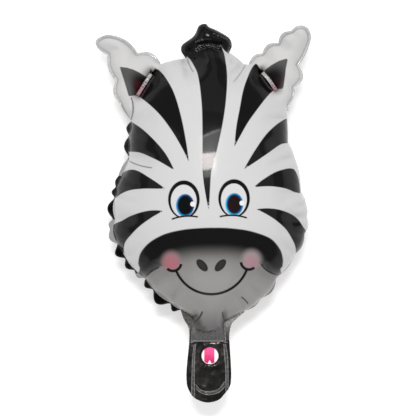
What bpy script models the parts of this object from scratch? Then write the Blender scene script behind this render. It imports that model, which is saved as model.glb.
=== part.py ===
"""A zebra-head foil balloon, filled and lying on its back with the face up.

Two printed foil sheets are welded together round their edge and blown up, so the envelope is
one sealed piece: head, two ears, a mane tuft on top, a neck, and a flat tail below that holds
the filling valve. The valve's clear film shows in a round hole that goes through the tail.
The envelope is sealed, so it is built solid. +X is the viewer's right, +Y runs from the tail to
the mane, and +Z is up, out of the face. The origin is the middle of the flat spot it rests on.
"""

import math

import bmesh
import bpy
import numpy as np
from mathutils import Vector, geometry

# Driving sizes, in metres
HEAD_HEIGHT = 0.3315  # from the valve's weld line to the top of the mane tuft
TAIL_LENGTH = 0.0624
TAIL_WIDTH = 0.0466
TAIL_THICKNESS = 0.0016  # two foil sheets with the valve's films between them
SEAM_THICKNESS = 0.0010  # the welded edge of the two sheets
VALVE_HOLE_DIAMETER = 0.0179
VALVE_HOLE_DROP = 0.0133  # from the valve's weld line down to the hole's centre
VALVE_HOLE_SHIFT = 0.0011  # the hole's centre, right of the tail's centre line
VALVE_FILM_THICKNESS = 0.0008
FILM_GAP = 0.0003
REST_SPOT_DEPTH = 0.0020  # how far the back is pressed flat where it lies
TUFT_LEAN = 0.0160  # how far the top of the tuft leans up, out of the sheets' plane

# How full the foil is blown: 1.2 gives a round pillow 0.6 as thick as it is wide
FULLNESS = 1.2
NECK_PRESSURE = 0.25  # share of the air's push that still swells the folded neck
TUFT_PRESSURE = 2.2  # the small tuft's curled foil stands off more than a flat lobe's would
CREASE_DEPTH = 0.42  # share of the height that a crease takes away at the seam
CREASE_REACH = 0.016
CREASE_WIDTH = 0.0032

# Spacing of the points in the solid's skin, in metres
EDGE_STEP = 0.0055
SKIN_STEP = 0.0085
RIM_ROWS = (0.0014, 0.0050)  # rows of points this far inside the seam, where it curves most
HOLE_SIDES = 28
SHARP_ANGLE = math.radians(50)

# x, y and bulge of points on the outline. x and y are thousandths of HEAD_HEIGHT, and bulge is
# how far the stretch after a point swings out, as a share of that stretch's length. A crease
# runs in from the seam where a bulging stretch starts. Stretches of bulge 0 are smooth.
TUFT = [
    (-77, 431, 0), (-91, 449, 0), (-91, 464, 0), (-75, 482, 0), (-45, 497, 0.12),
    (-36, 529, 0), (-19, 536, 0), (-7, 527, 0.06), (42, 504, 0), (66, 483, 0),
    (68, 464, 0), (61, 447, 0),
]  # fmt: skip
HEAD_TOP_LEFT = [(-77, 431, 0.06)]
LEFT_EAR = [
    (-157, 416, 0.16), (-228, 448, 0.06), (-286, 496, 0), (-325, 501, 0), (-358, 483, 0),
    (-349, 457, 0), (-327, 442, 0.13), (-312, 369, 0.14), (-284, 289, 0.03),
]  # fmt: skip
LEFT_SIDE = [
    (-252, 240, 0.17), (-257, 188, 0.15), (-255, 113, 0.03), (-292, 35, 0.14),
    (-302, -8, 0.20), (-305, -77, 0.14), (-313, -107, 0.22), (-293, -152, 0.20),
    (-270, -205, 0.12), (-245, -238, 0.14), (-205, -260, 0.22), (-184, -300, 0.18),
    (-135, -345, 0.18), (-96, -361, 0), (-77, -402, 0), (-67, -436, 0),
]  # fmt: skip
RIGHT_SIDE = [
    (61, -436, 0), (70, -402, 0), (109, -366, 0.14), (162, -326, 0.20), (210, -262, 0.08),
    (268, -188, 0.14), (295, -130, 0), (299, -118, 0.16), (306, -69, 0.08),
    (304, -28, 0.06), (287, 11, 0.05), (267, 122, 0.04), (246, 166, 0.02), (244, 238, 0.02),
]  # fmt: skip
RIGHT_EAR = [
    (243, 279, 0.12), (265, 334, 0.24), (281, 407, 0.04), (310, 472, 0), (312, 505, 0),
    (289, 530, 0), (252, 515, 0.18), (210, 478, 0.18), (161, 451, 0.14), (122, 413, 0),
]  # fmt: skip
HEAD_TOP_RIGHT = [(107, 414, 0.05), (84, 436, 0.04)]

# Lines where the two sheets are pressed together inside the outline: between each ear and the
# head, open at both ends so that air passes, and along the foot of the tuft
LEFT_EAR_WELD = [(-179, 387), (-204, 350), (-229, 311)]
RIGHT_EAR_WELD = [(155, 392), (185, 359), (213, 326)]
TUFT_CREASE = [(-52, 459), (-28, 468), (0, 471), (30, 463)]
VALVE_WELD = [(-60, -463), (56, -463)]

NECK_TOP = -330  # y where the neck starts below the chin, in the same thousandths
TUFT_FOOT = 436  # y where the tuft starts to lean

FOIL_WHITE = (0.72, 0.74, 0.74)
FILM_PINK = (0.86, 0.09, 0.33)


def clear_scene():
    for obj in list(bpy.data.objects):
        bpy.data.objects.remove(obj)


def material(name, color, roughness):
    made = bpy.data.materials.new(name)
    made.use_nodes = True
    shader = made.node_tree.nodes["Principled BSDF"]
    shader.inputs["Base Color"].default_value = (*color, 1.0)
    shader.inputs["Roughness"].default_value = roughness
    return made


def metres(thousandths):
    return np.array(thousandths, float) * HEAD_HEIGHT / 1000


def smooth_step(low, high, value):
    t = np.clip((value - low) / (high - low), 0, 1)
    return t * t * (3 - 2 * t)


def curve_point(before, start, end, after, t):
    """A point at share t of the smooth curve from start to end, its neighbours giving slopes."""
    return 0.5 * (
        2 * start
        + (end - before) * t
        + (2 * before - 5 * start + 4 * end - after) * t**2
        + (3 * start - before - 3 * end + after) * t**3
    )


def bulging_line(knots, closes_on):
    """Points along knots, each stretch smooth or swung out, and which points start a crease."""
    spots = metres([k[:2] for k in knots] + [closes_on])
    bulges = [k[2] for k in knots]
    points, creases = [], []
    for i, bulge in enumerate(bulges):
        start, end = spots[i], spots[i + 1]
        run = end - start
        chord = np.linalg.norm(run)
        joins_last = i > 0 and bulge == 0 and bulges[i - 1] == 0
        joins_next = i + 1 < len(bulges) and bulge == 0 and bulges[i + 1] == 0
        before = spots[i - 1] if joins_last else start - run
        after = spots[i + 2] if joins_next else end + run
        outward = np.array([run[1], -run[0]]) / chord
        count = max(2, round(chord / EDGE_STEP))
        for n in range(count):
            t = n / count
            swing = bulge * chord * math.sin(math.pi * t)
            points.append(curve_point(before, start, end, after, t) + outward * swing)
            creases.append(n == 0 and bulge > 0)
    return points, creases


def tail_centre():
    left, right = metres(LEFT_SIDE[-1][:2]), metres(RIGHT_SIDE[0][:2])
    return (left[0] + right[0]) / 2


def valve_weld_level():
    return float(metres(VALVE_WELD[0][1]))


def tail_outline():
    """The tail's edge: its left side down, its half-round end, and its right side up."""
    level = valve_weld_level()
    top = float(metres(LEFT_SIDE[-1][1]))
    shoulder = (metres(RIGHT_SIDE[0][:2])[0] - metres(LEFT_SIDE[-1][:2])[0]) / 2
    end_height = TAIL_WIDTH / 2 * 1.05
    end_level = level - TAIL_LENGTH + end_height
    rows = round((top - end_level) / EDGE_STEP)
    side = []
    for n in range(rows):
        t = n / rows
        half = shoulder + (TAIL_WIDTH / 2 - shoulder) * math.sin(t * math.pi / 2)
        side.append((half, top + (end_level - top) * t))
    turns = round(math.pi * TAIL_WIDTH / 2 / EDGE_STEP)
    angles = [math.pi * n / turns for n in range(turns + 1)]
    end = [
        (-TAIL_WIDTH / 2 * math.cos(a), end_level - end_height * math.sin(a)) for a in angles
    ]
    left = [(-x, y) for x, y in side]
    return [np.array((tail_centre() + x, y)) for x, y in left + end + side[:0:-1]]


def outline():
    """The balloon's whole edge, counterclockwise, and which of its points start a crease."""
    left_knots = HEAD_TOP_LEFT + LEFT_EAR + LEFT_SIDE
    right_knots = RIGHT_SIDE + RIGHT_EAR + HEAD_TOP_RIGHT
    tuft_knots = TUFT[::-1]
    left, left_creases = bulging_line(left_knots[:-1], left_knots[-1][:2])
    right, right_creases = bulging_line(right_knots, tuft_knots[0][:2])
    backward = [(*k[:2], b[2]) for k, b in zip(tuft_knots, tuft_knots[1:] + tuft_knots[-1:])]
    tuft, tuft_creases = bulging_line(backward[:-1], tuft_knots[-1][:2])
    tail = tail_outline()
    creases = left_creases + [False] * len(tail) + right_creases + tuft_creases
    return np.array(left + tail + right + tuft), np.array(creases)


def pressed_line(knots):
    """Points along a line where the sheets are pressed together."""
    spots = metres(knots)
    spots = np.vstack([2 * spots[0] - spots[1], spots, 2 * spots[-1] - spots[-2]])
    points = []
    for i in range(1, len(spots) - 2):
        count = max(2, round(np.linalg.norm(spots[i + 1] - spots[i]) / EDGE_STEP))
        points += [curve_point(*spots[i - 1 : i + 3], n / count) for n in range(count)]
    return np.array(points + [spots[-2]])


def valve_hole_centre():
    return np.array((tail_centre() + VALVE_HOLE_SHIFT, valve_weld_level() - VALVE_HOLE_DROP))


def circle(centre, radius):
    angles = np.arange(HOLE_SIDES) * 2 * math.pi / HOLE_SIDES
    return centre + radius * np.c_[np.cos(angles), np.sin(angles)]


def inside(points, loop):
    """Which points lie inside a closed loop, by counting the edges to their right."""
    x, y = points[:, 0], points[:, 1]
    odd = np.zeros(len(points), bool)
    for a, b in zip(loop, np.roll(loop, -1, axis=0)):
        if a[1] == b[1]:
            continue
        spans = (a[1] > y) != (b[1] > y)
        odd ^= spans & (x < (b[0] - a[0]) * (y - a[1]) / (b[1] - a[1]) + a[0])
    return odd


def nearest_on_loop(points, loop):
    """Each point's distance to a closed loop, and how far along the loop the nearest spot is."""
    run = np.roll(loop, -1, axis=0) - loop
    length = np.linalg.norm(run, axis=1)
    along = np.r_[0.0, np.cumsum(length)[:-1]]
    offset = points[:, None] - loop[None]
    t = np.clip((offset * run).sum(2) / length**2, 0, 1)
    gap = np.linalg.norm(offset - t[..., None] * run, axis=2)
    best = gap.argmin(1)
    rows = np.arange(len(points))
    return gap[rows, best], (along + t * length)[rows, best]


def rim_row(edge, depth):
    """A row of points at one depth inside the edge, without those that crowd at its corners."""
    along = np.roll(edge, -1, axis=0) - np.roll(edge, 1, axis=0)
    inward = np.c_[-along[:, 1], along[:, 0]] / np.linalg.norm(along, axis=1)[:, None]
    row = edge + inward * depth
    return row[inside(row, edge) & (nearest_on_loop(row, edge)[0] > 0.8 * depth)]


def skin_grid(edge):
    """A triangular grid of points over the sheet, clear of the rim rows."""
    low, high = edge.min(0), edge.max(0)
    rows = []
    for n, y in enumerate(np.arange(low[1], high[1], SKIN_STEP * math.sqrt(3) / 2)):
        x = np.arange(low[0] + (n % 2) * SKIN_STEP / 2, high[0], SKIN_STEP)
        rows.append(np.c_[x, np.full(len(x), y)])
    grid = np.vstack(rows)
    clear = nearest_on_loop(grid, edge)[0] > RIM_ROWS[-1] + SKIN_STEP / 2
    return grid[inside(grid, edge) & clear]


def flat_sheet(edge, lines, hole):
    """The flat foil cut into triangles, with the valve hole left open."""
    fixed = np.vstack([*lines, hole])
    groups = [(rim_row(edge, depth), 0.6 * depth) for depth in RIM_ROWS]
    groups.append((skin_grid(edge), SKIN_STEP / 2))
    free = []
    for group, room in groups:
        far = np.linalg.norm(group[:, None] - fixed[None], axis=2).min(1) > room
        free.append(group[far & ~inside(group, hole)])
    points = np.vstack([edge, hole, *lines, *free])
    borders = []
    for first, count in ((0, len(edge)), (len(edge), len(hole))):
        borders += [(first + i, first + (i + 1) % count) for i in range(count)]
    first = len(edge) + len(hole)
    for line in lines:
        borders += [(first + i, first + i + 1) for i in range(len(line) - 1)]
        first += len(line)
    cut = geometry.delaunay_2d_cdt([Vector(p) for p in points], borders, [], 1, 1e-7)
    places, triangles = np.array([tuple(v) for v in cut[0]]), np.array(cut[2])
    middles = places[triangles].mean(1)
    return places, triangles[inside(middles, edge) & ~inside(middles, hole)]


def film_rise(places, triangles, held, push):
    """The rise of a stretched film that is held at some points and pushed up by push."""
    count = len(places)
    weight, left, right = [], [], []
    area_share = np.zeros(count)
    for k in range(3):
        a, b, c = (triangles[:, (k + n) % 3] for n in range(3))
        to_b, to_c = places[b] - places[a], places[c] - places[a]
        double_area = np.abs(to_b[:, 0] * to_c[:, 1] - to_b[:, 1] * to_c[:, 0])
        weight.append((to_b * to_c).sum(1) / np.maximum(double_area, 1e-12) / 2)
        left.append(b)
        right.append(c)
        np.add.at(area_share, a, double_area / 6)
    weight, left, right = (np.concatenate(part) for part in (weight, left, right))

    def pull(u):
        force = weight * (u[left] - u[right])
        return (np.bincount(left, force, count) - np.bincount(right, force, count)) * ~held

    rise = np.zeros(count)
    rest = area_share * push * ~held
    step, size = rest.copy(), rest @ rest
    target = 1e-16 * size
    while size > target:
        force = pull(step)
        share = size / (step @ force)
        rise += share * step
        rest = rest - share * force
        new_size = rest @ rest
        step = rest + new_size / size * step
        size = new_size
    return np.maximum(rise, 0)


def crease_share(places, edge, creases):
    """1 on a crease at the seam, falling to 0 beside it and further in."""
    gap, along = nearest_on_loop(places, edge)
    length = np.linalg.norm(np.roll(edge, -1, axis=0) - edge, axis=1)
    starts = np.r_[0.0, np.cumsum(length)[:-1]][creases]
    beside = np.abs(along[:, None] - starts[None])
    beside = np.minimum(beside, length.sum() - beside).min(1)
    return np.exp(-beside / CREASE_WIDTH) * np.exp(-gap / CREASE_REACH)


def tuft_top():
    return max(y for _, y, _ in TUFT)


def half_thickness(places, triangles, edge, creases, lines):
    """How far each skin stands off the sheets' plane."""
    on_edge = nearest_on_loop(places, edge)[0] < 1e-6
    on_line = np.linalg.norm(places[:, None] - np.vstack(lines)[None], axis=2).min(1) < 1e-6
    y = places[:, 1]
    in_tail = y < valve_weld_level()
    push = NECK_PRESSURE + (1 - NECK_PRESSURE) * smooth_step(
        valve_weld_level(), metres(NECK_TOP), y
    )
    push *= 1 + (TUFT_PRESSURE - 1) * smooth_step(metres(TUFT_FOOT), metres(tuft_top()), y)
    rise = FULLNESS * np.sqrt(film_rise(places, triangles, on_edge | on_line | in_tail, push))
    rise *= 1 - CREASE_DEPTH * crease_share(places, edge, creases)
    return np.maximum(rise, np.where(in_tail | on_line, TAIL_THICKNESS, SEAM_THICKNESS) / 2)


def envelope():
    """Front and back skins joined round the edge and the hole, with the rest spot's middle."""
    edge, creases = outline()
    hole = circle(valve_hole_centre(), VALVE_HOLE_DIAMETER / 2)
    welds = (LEFT_EAR_WELD, RIGHT_EAR_WELD, TUFT_CREASE, VALVE_WELD)
    lines = [pressed_line(weld) for weld in welds]
    places, triangles = flat_sheet(edge, lines, hole)
    half = half_thickness(places, triangles, edge, creases, lines)
    level = half.max() - REST_SPOT_DEPTH
    resting = half >= level
    middle = (places[resting].min(0) + places[resting].max(0)) / 2
    lean = TUFT_LEAN * smooth_step(metres(TUFT_FOOT), metres(tuft_top()), places[:, 1])
    places = places - middle

    bm = bmesh.new()
    front = [bm.verts.new((*p, z)) for p, z in zip(places, level + lean + half)]
    back = [bm.verts.new((*p, z)) for p, z in zip(places, level + lean - np.minimum(half, level))]
    sides = {(int(t[k]), int(t[(k + 1) % 3])) for t in triangles for k in range(3)}
    for a, b, c in triangles:
        bm.faces.new((front[a], front[b], front[c]))
        bm.faces.new((back[c], back[b], back[a]))
    for a, b in sides:
        if (b, a) not in sides:
            bm.faces.new((front[b], front[a], back[a], back[b]))
    bmesh.ops.triangulate(bm, faces=[f for f in bm.faces if len(f.verts) > 3])
    mesh = bpy.data.meshes.new("foil_envelope")
    bm.to_mesh(mesh)
    bm.free()
    return mesh, middle, level


def valve_film(middle, level):
    """The clear disc of valve film that fills the tail's hole."""
    rim = circle(valve_hole_centre() - middle, VALVE_HOLE_DIAMETER / 2 - FILM_GAP)
    bm = bmesh.new()
    half = VALVE_FILM_THICKNESS / 2
    upper = [bm.verts.new((*p, level + half)) for p in rim]
    lower = [bm.verts.new((*p, level - half)) for p in rim]
    bm.faces.new(upper)
    bm.faces.new(lower[::-1])
    for i in range(HOLE_SIDES):
        j = (i + 1) % HOLE_SIDES
        bm.faces.new((lower[i], lower[j], upper[j], upper[i]))
    mesh = bpy.data.meshes.new("valve_film")
    bm.to_mesh(mesh)
    bm.free()
    return mesh


def add_node(name, mesh, finish):
    mesh.materials.append(finish)
    mesh.shade_smooth()
    mesh.set_sharp_from_angle(angle=SHARP_ANGLE)
    bpy.context.scene.collection.objects.link(bpy.data.objects.new(name, mesh))


clear_scene()
body, rest_middle, seam_level = envelope()
add_node("foil_envelope", body, material("printed foil", FOIL_WHITE, 0.28))
add_node("valve_film", valve_film(rest_middle, seam_level), material("valve film", FILM_PINK, 0.2))
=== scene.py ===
# %% [markdown]
# # A zebra-head foil balloon
# The balloon is two sheets of printed foil, welded round their edge and blown up. Foil doesn't
# stretch, so a full balloon is smaller than its flat pattern and its edge puckers. That is the
# look to catch: broad smooth swells in the middle, and small creases and scallops at the weld.
# It lies on its back with its face up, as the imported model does.

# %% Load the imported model
import math

import bmesh
import bpy
import numpy as np
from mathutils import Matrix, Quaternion, Vector, geometry, noise


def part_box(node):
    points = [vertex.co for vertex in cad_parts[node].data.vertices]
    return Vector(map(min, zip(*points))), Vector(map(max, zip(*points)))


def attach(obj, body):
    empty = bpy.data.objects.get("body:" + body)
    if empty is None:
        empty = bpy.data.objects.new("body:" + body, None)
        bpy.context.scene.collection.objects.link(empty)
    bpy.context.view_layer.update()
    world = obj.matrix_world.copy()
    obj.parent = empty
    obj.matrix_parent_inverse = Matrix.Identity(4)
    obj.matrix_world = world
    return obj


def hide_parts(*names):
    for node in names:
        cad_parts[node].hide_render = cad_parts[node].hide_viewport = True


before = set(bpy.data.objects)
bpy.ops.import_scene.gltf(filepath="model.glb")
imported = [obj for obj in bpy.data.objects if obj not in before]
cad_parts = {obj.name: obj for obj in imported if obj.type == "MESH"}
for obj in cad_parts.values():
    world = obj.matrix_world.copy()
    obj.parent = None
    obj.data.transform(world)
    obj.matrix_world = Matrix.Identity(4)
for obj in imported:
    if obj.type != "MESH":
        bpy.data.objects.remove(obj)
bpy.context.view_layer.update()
film_low, film_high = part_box("valve_film")
SEAM_LEVEL = (film_low[2] + film_high[2]) / 2
print("the sheets meet at height", round(SEAM_LEVEL, 4))

# %% [markdown]
# ## Camera, floor and light
# The photograph looks straight at the face, so the camera looks straight down. It stands far off
# with a long lens, so the face isn't bent by perspective. Foil mirrors its surroundings, so four
# soft walls light its sides, a broad slanted panel and a thin one lie as gleams on the brow, and
# a key light and a weak one below it give the white rows between the eyes.

# %% Places on the balloon are read from the photograph
PIXEL = 0.00104  # metres for one of the photograph's pixels at the weld's level
PHOTO_SIZE = 416
ORIGIN_PIXEL = (210.31, 190.07)  # the pixel over the model's origin


def at_column(x):
    """The model's x under one of the photograph's columns of pixels."""
    return (x - ORIGIN_PIXEL[0]) * PIXEL


def at_row(y):
    """The model's y, up the head, under one of the photograph's rows of pixels."""
    return (ORIGIN_PIXEL[1] - y) * PIXEL


def at(x, y):
    """The place in the model under one of the photograph's pixels."""
    return np.array((at_column(x), at_row(y)))


def add_object(name, data):
    """A new object in the scene."""
    made = bpy.data.objects.new(name, data)
    bpy.context.scene.collection.objects.link(made)
    return made


def add_mesh(name, points, edges, faces):
    """A new mesh object in the scene."""
    mesh = bpy.data.meshes.new(name)
    mesh.from_pydata(points, edges, faces)
    return add_object(name, mesh)


# %% Camera
CAMERA_HEIGHT = 4.0
view_middle = at(PHOTO_SIZE / 2, PHOTO_SIZE / 2)
camera_data = bpy.data.cameras.new("camera")
camera_data.sensor_width = 36
camera_data.lens = 36 * (CAMERA_HEIGHT - SEAM_LEVEL) / (PHOTO_SIZE * PIXEL)
camera = add_object("camera", camera_data)
camera.location = (*view_middle, CAMERA_HEIGHT)
bpy.context.scene.camera = camera
print("lens", round(camera_data.lens, 1), "mm")

# %% Floor and lights
FLOOR_GLOW = 0.36
WORLD_STRENGTH = 0.32
floor = add_mesh("floor", [(-6, -6, 0), (6, -6, 0), (6, 6, 0), (-6, 6, 0)], [], [(0, 1, 2, 3)])
floor_paint = bpy.data.materials.new("pale floor")
floor_paint.use_nodes = True
floor_shader = floor_paint.node_tree.nodes["Principled BSDF"]
floor_shader.inputs["Base Color"].default_value = (0.94, 0.94, 0.94, 1)
floor_shader.inputs["Roughness"].default_value = 0.9
floor_shader.inputs["Emission Color"].default_value = (1, 1, 1, 1)
floor_shader.inputs["Emission Strength"].default_value = FLOOR_GLOW
floor.data.materials.append(floor_paint)

world = bpy.data.worlds.new("studio")
world.use_nodes = True
sky = world.node_tree.nodes["Background"]
sky.inputs["Color"].default_value = (1, 1, 1, 1)
sky.inputs["Strength"].default_value = WORLD_STRENGTH
bpy.context.scene.world = world
bpy.context.scene.view_settings.view_transform = "Standard"


def add_light(name, place, aim, size, watts, turn=0.0):
    """A soft light of a size across and along, from place towards aim, turned by some degrees."""
    data = bpy.data.lights.new(name, "AREA")
    data.shape = "RECTANGLE"
    data.size, data.size_y = size
    data.energy = watts
    lamp = add_object(name, data)
    lamp.location = place
    facing = (Vector(aim) - Vector(place)).to_track_quat("-Z", "Y")
    lamp.rotation_euler = (facing @ Quaternion((0, 0, 1), math.radians(turn))).to_euler()


SOFTBOX = (1.8, 1.8)
SOFTBOX_HEIGHT = 1.7
FACE_HEIGHT = 0.1
BROW_TURN = 13
for name, x, y, watts in (
    ("left softbox", -2.1, 0.2, 7),
    ("right softbox", 2.1, 0.2, 7),
    ("head softbox", 0, 2.1, 5),
    ("chin softbox", 0, -2.1, 11),
):
    add_light(name, (x, y, SOFTBOX_HEIGHT), (0, 0, 0.05), SOFTBOX, watts)
for name, x, y, size, watts, turn in (
    ("brow softbox", 0.05, 0.715, (0.9, 0.34), 7, BROW_TURN),
    ("brow edge", 0.010, 0.892, (0.9, 0.035), 1.5, BROW_TURN),
    ("key light", -0.02, 0.44, (0.5, 0.24), 25, 0),
    ("under light", -0.02, 0.26, (0.4, 0.1), 1.2, 0),
):
    add_light(name, (x, y, 2.2), (0, 0, FACE_HEIGHT), size, watts, turn)
bpy.data.lights["key light"].color = (1, 0.93, 0.92)

# %% [markdown]
# ## The edge of the balloon
# Each knot below is a place where a crease runs in from the edge, or a turn of a smooth stretch.
# Between two creases the foil swings out. The weld and the cut edge of the foil are two lines
# with a thin flange between them, so each knot holds both: the place on the cut edge, how far
# the cut edge swings out, how far the weld swings out, and how far inside it the weld lies.

# %% Knots of the edge, in the photograph's pixels
# x, y, swing of the cut edge, swing of the weld, then the weld: its inset in pixels or its place
HEAD_TOP_LEFT = [(185.5, 57.5, 0.06, 0.05, 1.2)]
LEFT_EAR = [
    (160.4, 62.2, 0.21, 0.18, 2.0), (137.6, 53.0, 0.10, 0.08, 2.6), (118.8, 37.0, 0, 0, 2.6),
    (106.4, 35.3, 0, 0, 2.6), (95.8, 41.0, 0, 0, 2.6), (98.6, 49.3, 0, 0, 2.2),
    (107.4, 55.0, 0.12, 0.10, 2.4), (115.6, 80.8, 0.19, 0.15, 2.4), (119.5, 102.9, 0.03, 0.02, 2.0),
]
LEFT_SIDE = [
    (130.9, 121.0, 0.20, -0.03, 0.6), (128.7, 135.3, 0.18, 0.01, 0.6), (128.9, 157.0, 0.04, -0.04, 0.8),
    (118.6, 176.0, 0.14, 0.02, 2.8), (115.6, 187.0, 0.26, -0.04, 1.4), (114.4, 197.6, 0.24, 0.07, 0.8),
    (113.4, 219.4, 0.24, -0.02, 2.2), (110.6, 229.0, 0.24, 0.05, 2.6), (117.6, 244.3, 0.32, -0.04, 0.8),
    (125.3, 258.5, 0.28, 0.00, 0.8), (134.4, 270.2, 0.26, 0.02, 1.0), (145.2, 277.9, 0.32, 0.02, 0.8),
    (152.9, 289.4, 0.31, 0.02, 0.6), (170.7, 303.2, 0.40, 0.02, 0.6), (180.5, 309.8, 0, 0, 0.8),
    (184.2, 320.0, 0, 0, (192.6, 317.4)), (188.9, 328.5, 0, 0, (192.2, 328)),
]
RIGHT_SIDE = [
    (229.4, 333.0, 0, 0, (224.4, 331)), (231.9, 323.5, 0, 0, (224.8, 321.5)),
    (237.5, 318.0, 0, 0, (231.5, 317.2)), (244.7, 311.8, 0.14, 0.06, 1.0),
    (261.7, 299.0, 0.20, 0.10, 1.0), (277.0, 278.6, 0.08, 0.05, 0.8), (295.4, 255.0, 0.14, 0.11, 0.8),
    (305.4, 233.5, 0.16, 0.14, 0.8), (307.6, 217.0, 0.08, 0.07, 0.8), (307.0, 204.0, 0.06, 0.05, 0.8),
    (301.5, 191.5, 0.05, 0.05, 0.8), (295.2, 156.0, 0.04, 0.04, 0.8), (288.5, 142.0, 0.02, 0.02, 0.8),
    (287.8, 119.0, 0.02, 0.02, 0.8),
]
RIGHT_EAR = [
    (288.0, 105.6, 0.13, 0.12, 1.4), (294.6, 87.6, 0.30, 0.25, 2.2), (298.6, 65.6, 0.05, 0.04, 2.4),
    (309.7, 43.6, 0, 0, 2.4), (310.9, 36.5, 0, 0, 2.6), (307.6, 28.8, 0, 0, 2.6),
    (301.6, 26.0, 0, 0, 2.6), (295.4, 27.0, 0, 0, 2.6), (290.8, 31.2, 0.24, 0.19, 2.6),
    (278.0, 43.3, 0.24, 0.19, 2.4), (262.2, 53.2, 0.19, 0.16, 2.2), (248.9, 63.3, 0, 0, 1.4),
]
HEAD_TOP_RIGHT = [(244.0, 63.0, 0.05, 0.05, 1.2), (236.8, 56.0, 0.04, 0.04, 1.2)]
TUFT = [
    (229.3, 52.5, 0, 0, 0.5), (232.0, 48.0, 0, 0, 0.3), (231.9, 42.3, 0, 0, 0.3),
    (229.2, 37.8, 0, 0, 0.3), (223.8, 34.2, 0, 0, 0.3), (215.8, 30.0, 0, 0, 0.3),
    (208.6, 27.0, 0, 0, 0.3), (206.4, 24.2, 0, 0, 0.3), (202.0, 24.4, 0, 0, 0.3),
    (198.0, 26.8, 0, 0, 0.3), (195.5, 33.0, 0, 0, 0.3), (192.6, 37.0, 0, 0, 0.3),
    (187.0, 40.9, 0, 0, 0.3), (182.2, 44.4, 0, 0, 0.3), (180.5, 48.2, 0, 0, 0.3),
    (181.1, 52.6, 0, 0, 0.5),
]
LEFT_EAR_WELD = [(152.5, 71.5), (145.0, 83.5), (137.5, 95.5)]
RIGHT_EAR_WELD = [(260.4, 70.5), (268.4, 79.4), (276.2, 90.6)]
VALVE_WELD = 342.7  # the photograph's row where the neck is welded shut
RIGHT_FOOT = (229.4, VALVE_WELD)
LEFT_FOOT = (189.2, VALVE_WELD)
# Pixels on the edge where the neck and the ears start
RIGHT_SHOULDER = (244.7, 311.8)
LEFT_SHOULDER = (180.5, 309.8)
RIGHT_EAR_FOOT = (288.2, 112)
LEFT_EAR_FOOT = (119.5, 102.9)
# Single folds that the photograph shows: depth and half width in pixels, and the line
FOLDS = [
    (9.0, 2.4, [(187.5, 55), (192.5, 49.5), (201.0, 46.5), (210.0, 45.6), (219.5, 46.6), (225, 51)]),
    (6.0, 1.5, [(131.5, 97), (133, 105), (131.6, 113), (131, 121)]),
    (0.9, 1.8, [(129.5, 160.8), (135, 164.5), (140.2, 165.6), (143.6, 165.6), (150, 167.4)]),
    (0.9, 1.8, [(144.5, 278), (151.5, 272), (158.6, 266.3)]),
    (0.9, 1.8, [(278.5, 275), (270, 269.5), (261.6, 264.8)]),
    (1.2, 1.8, [(194.8, 322), (198.4, 317), (202.4, 311.4)]),
    (1.2, 1.8, [(222.8, 313.5), (223.6, 317), (225.0, 321.5)]),
    (0.8, 1.8, [(242.8, 298), (247.5, 302.8)]),
    (0.9, 1.8, [(187.3, 58.5), (189.8, 64.5), (192.5, 71)]),
    (0.9, 1.8, [(245.8, 64), (241, 71), (236, 79.5)]),
    (1.3, 1.8, [(308.5, 232.5), (303, 234.6), (296.5, 234.8)]),
    (1.0, 1.6, [(304, 247.5), (299.5, 246), (296, 242.5)]),
]


# %% Curves through the knots
def curve_point(before, start, end, after, t):
    """A point at share t of the smooth curve from start to end, its neighbours giving slopes."""
    return 0.5 * (
        2 * start
        + (end - before) * t
        + (2 * before - 5 * start + 4 * end - after) * t**2
        + (3 * start - before - 3 * end + after) * t**3
    )


def smooth_step(low, high, value):
    """0 up to low and 1 from high on, with a smooth rise between."""
    t = np.clip((value - low) / (high - low), 0, 1)
    return t * t * (3 - 2 * t)


def run_through(spots, swings, counts):
    """Points along spots, where each stretch is smooth or swings out to the right of its run."""
    points = []
    for i, count in enumerate(counts):
        start, end = spots[i], spots[i + 1]
        run = end - start
        chord = np.linalg.norm(run)
        joins_last = i > 0 and swings[i] == 0 and swings[i - 1] == 0
        joins_next = i + 2 < len(spots) and swings[i] == 0 and swings[i + 1] == 0
        before = spots[i - 1] if joins_last else start - run
        after = spots[i + 2] if joins_next else end + run
        outward = np.array([run[1], -run[0]]) / chord
        for n in range(count):
            t = n / count
            swing = swings[i] * chord * math.sin(math.pi * t)
            points.append(curve_point(before, start, end, after, t) + outward * swing)
    return points


def left_of(runs):
    """The directions to the left of some runs, each one metre long."""
    return np.c_[-runs[:, 1], runs[:, 0]] / np.linalg.norm(runs, axis=1)[:, None]


def edge_lines(step):
    """The cut edge, the weld inside it and the crease starts, from the left shoulder round."""
    knots = RIGHT_SIDE + RIGHT_EAR + HEAD_TOP_RIGHT + TUFT + HEAD_TOP_LEFT + LEFT_EAR + LEFT_SIDE
    right_foot = (*RIGHT_FOOT, 0, 0, (225.4, VALVE_WELD))
    left_foot = (*LEFT_FOOT, 0, 0, (191.6, VALVE_WELD))
    knots = [right_foot, *knots, left_foot]
    cut = np.array([at(*k[:2]) for k in knots])
    along = np.roll(cut, -1, axis=0) - np.roll(cut, 1, axis=0)
    along[0], along[-1] = cut[1] - cut[0], cut[-1] - cut[-2]
    inward = left_of(along)
    weld = np.array([
        at(*k[4]) if isinstance(k[4], tuple) else spot + side * k[4] * PIXEL
        for k, spot, side in zip(knots, cut, inward)
    ])
    chords = np.linalg.norm(cut[1:] - cut[:-1], axis=1)
    counts = [max(2, round(chord / step)) for chord in chords]
    cut_line = run_through(cut, [k[2] for k in knots[:-1]], counts)
    weld_line = run_through(weld, [k[3] for k in knots[:-1]], counts)
    creases = []
    for knot, count in zip(knots, counts):
        creases += [knot[2] > 0] + [False] * (count - 1)
    cut_line.append(cut[-1])
    weld_line.append(weld[-1])
    creases.append(False)
    return np.array(cut_line), np.array(weld_line), np.array(creases)


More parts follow.
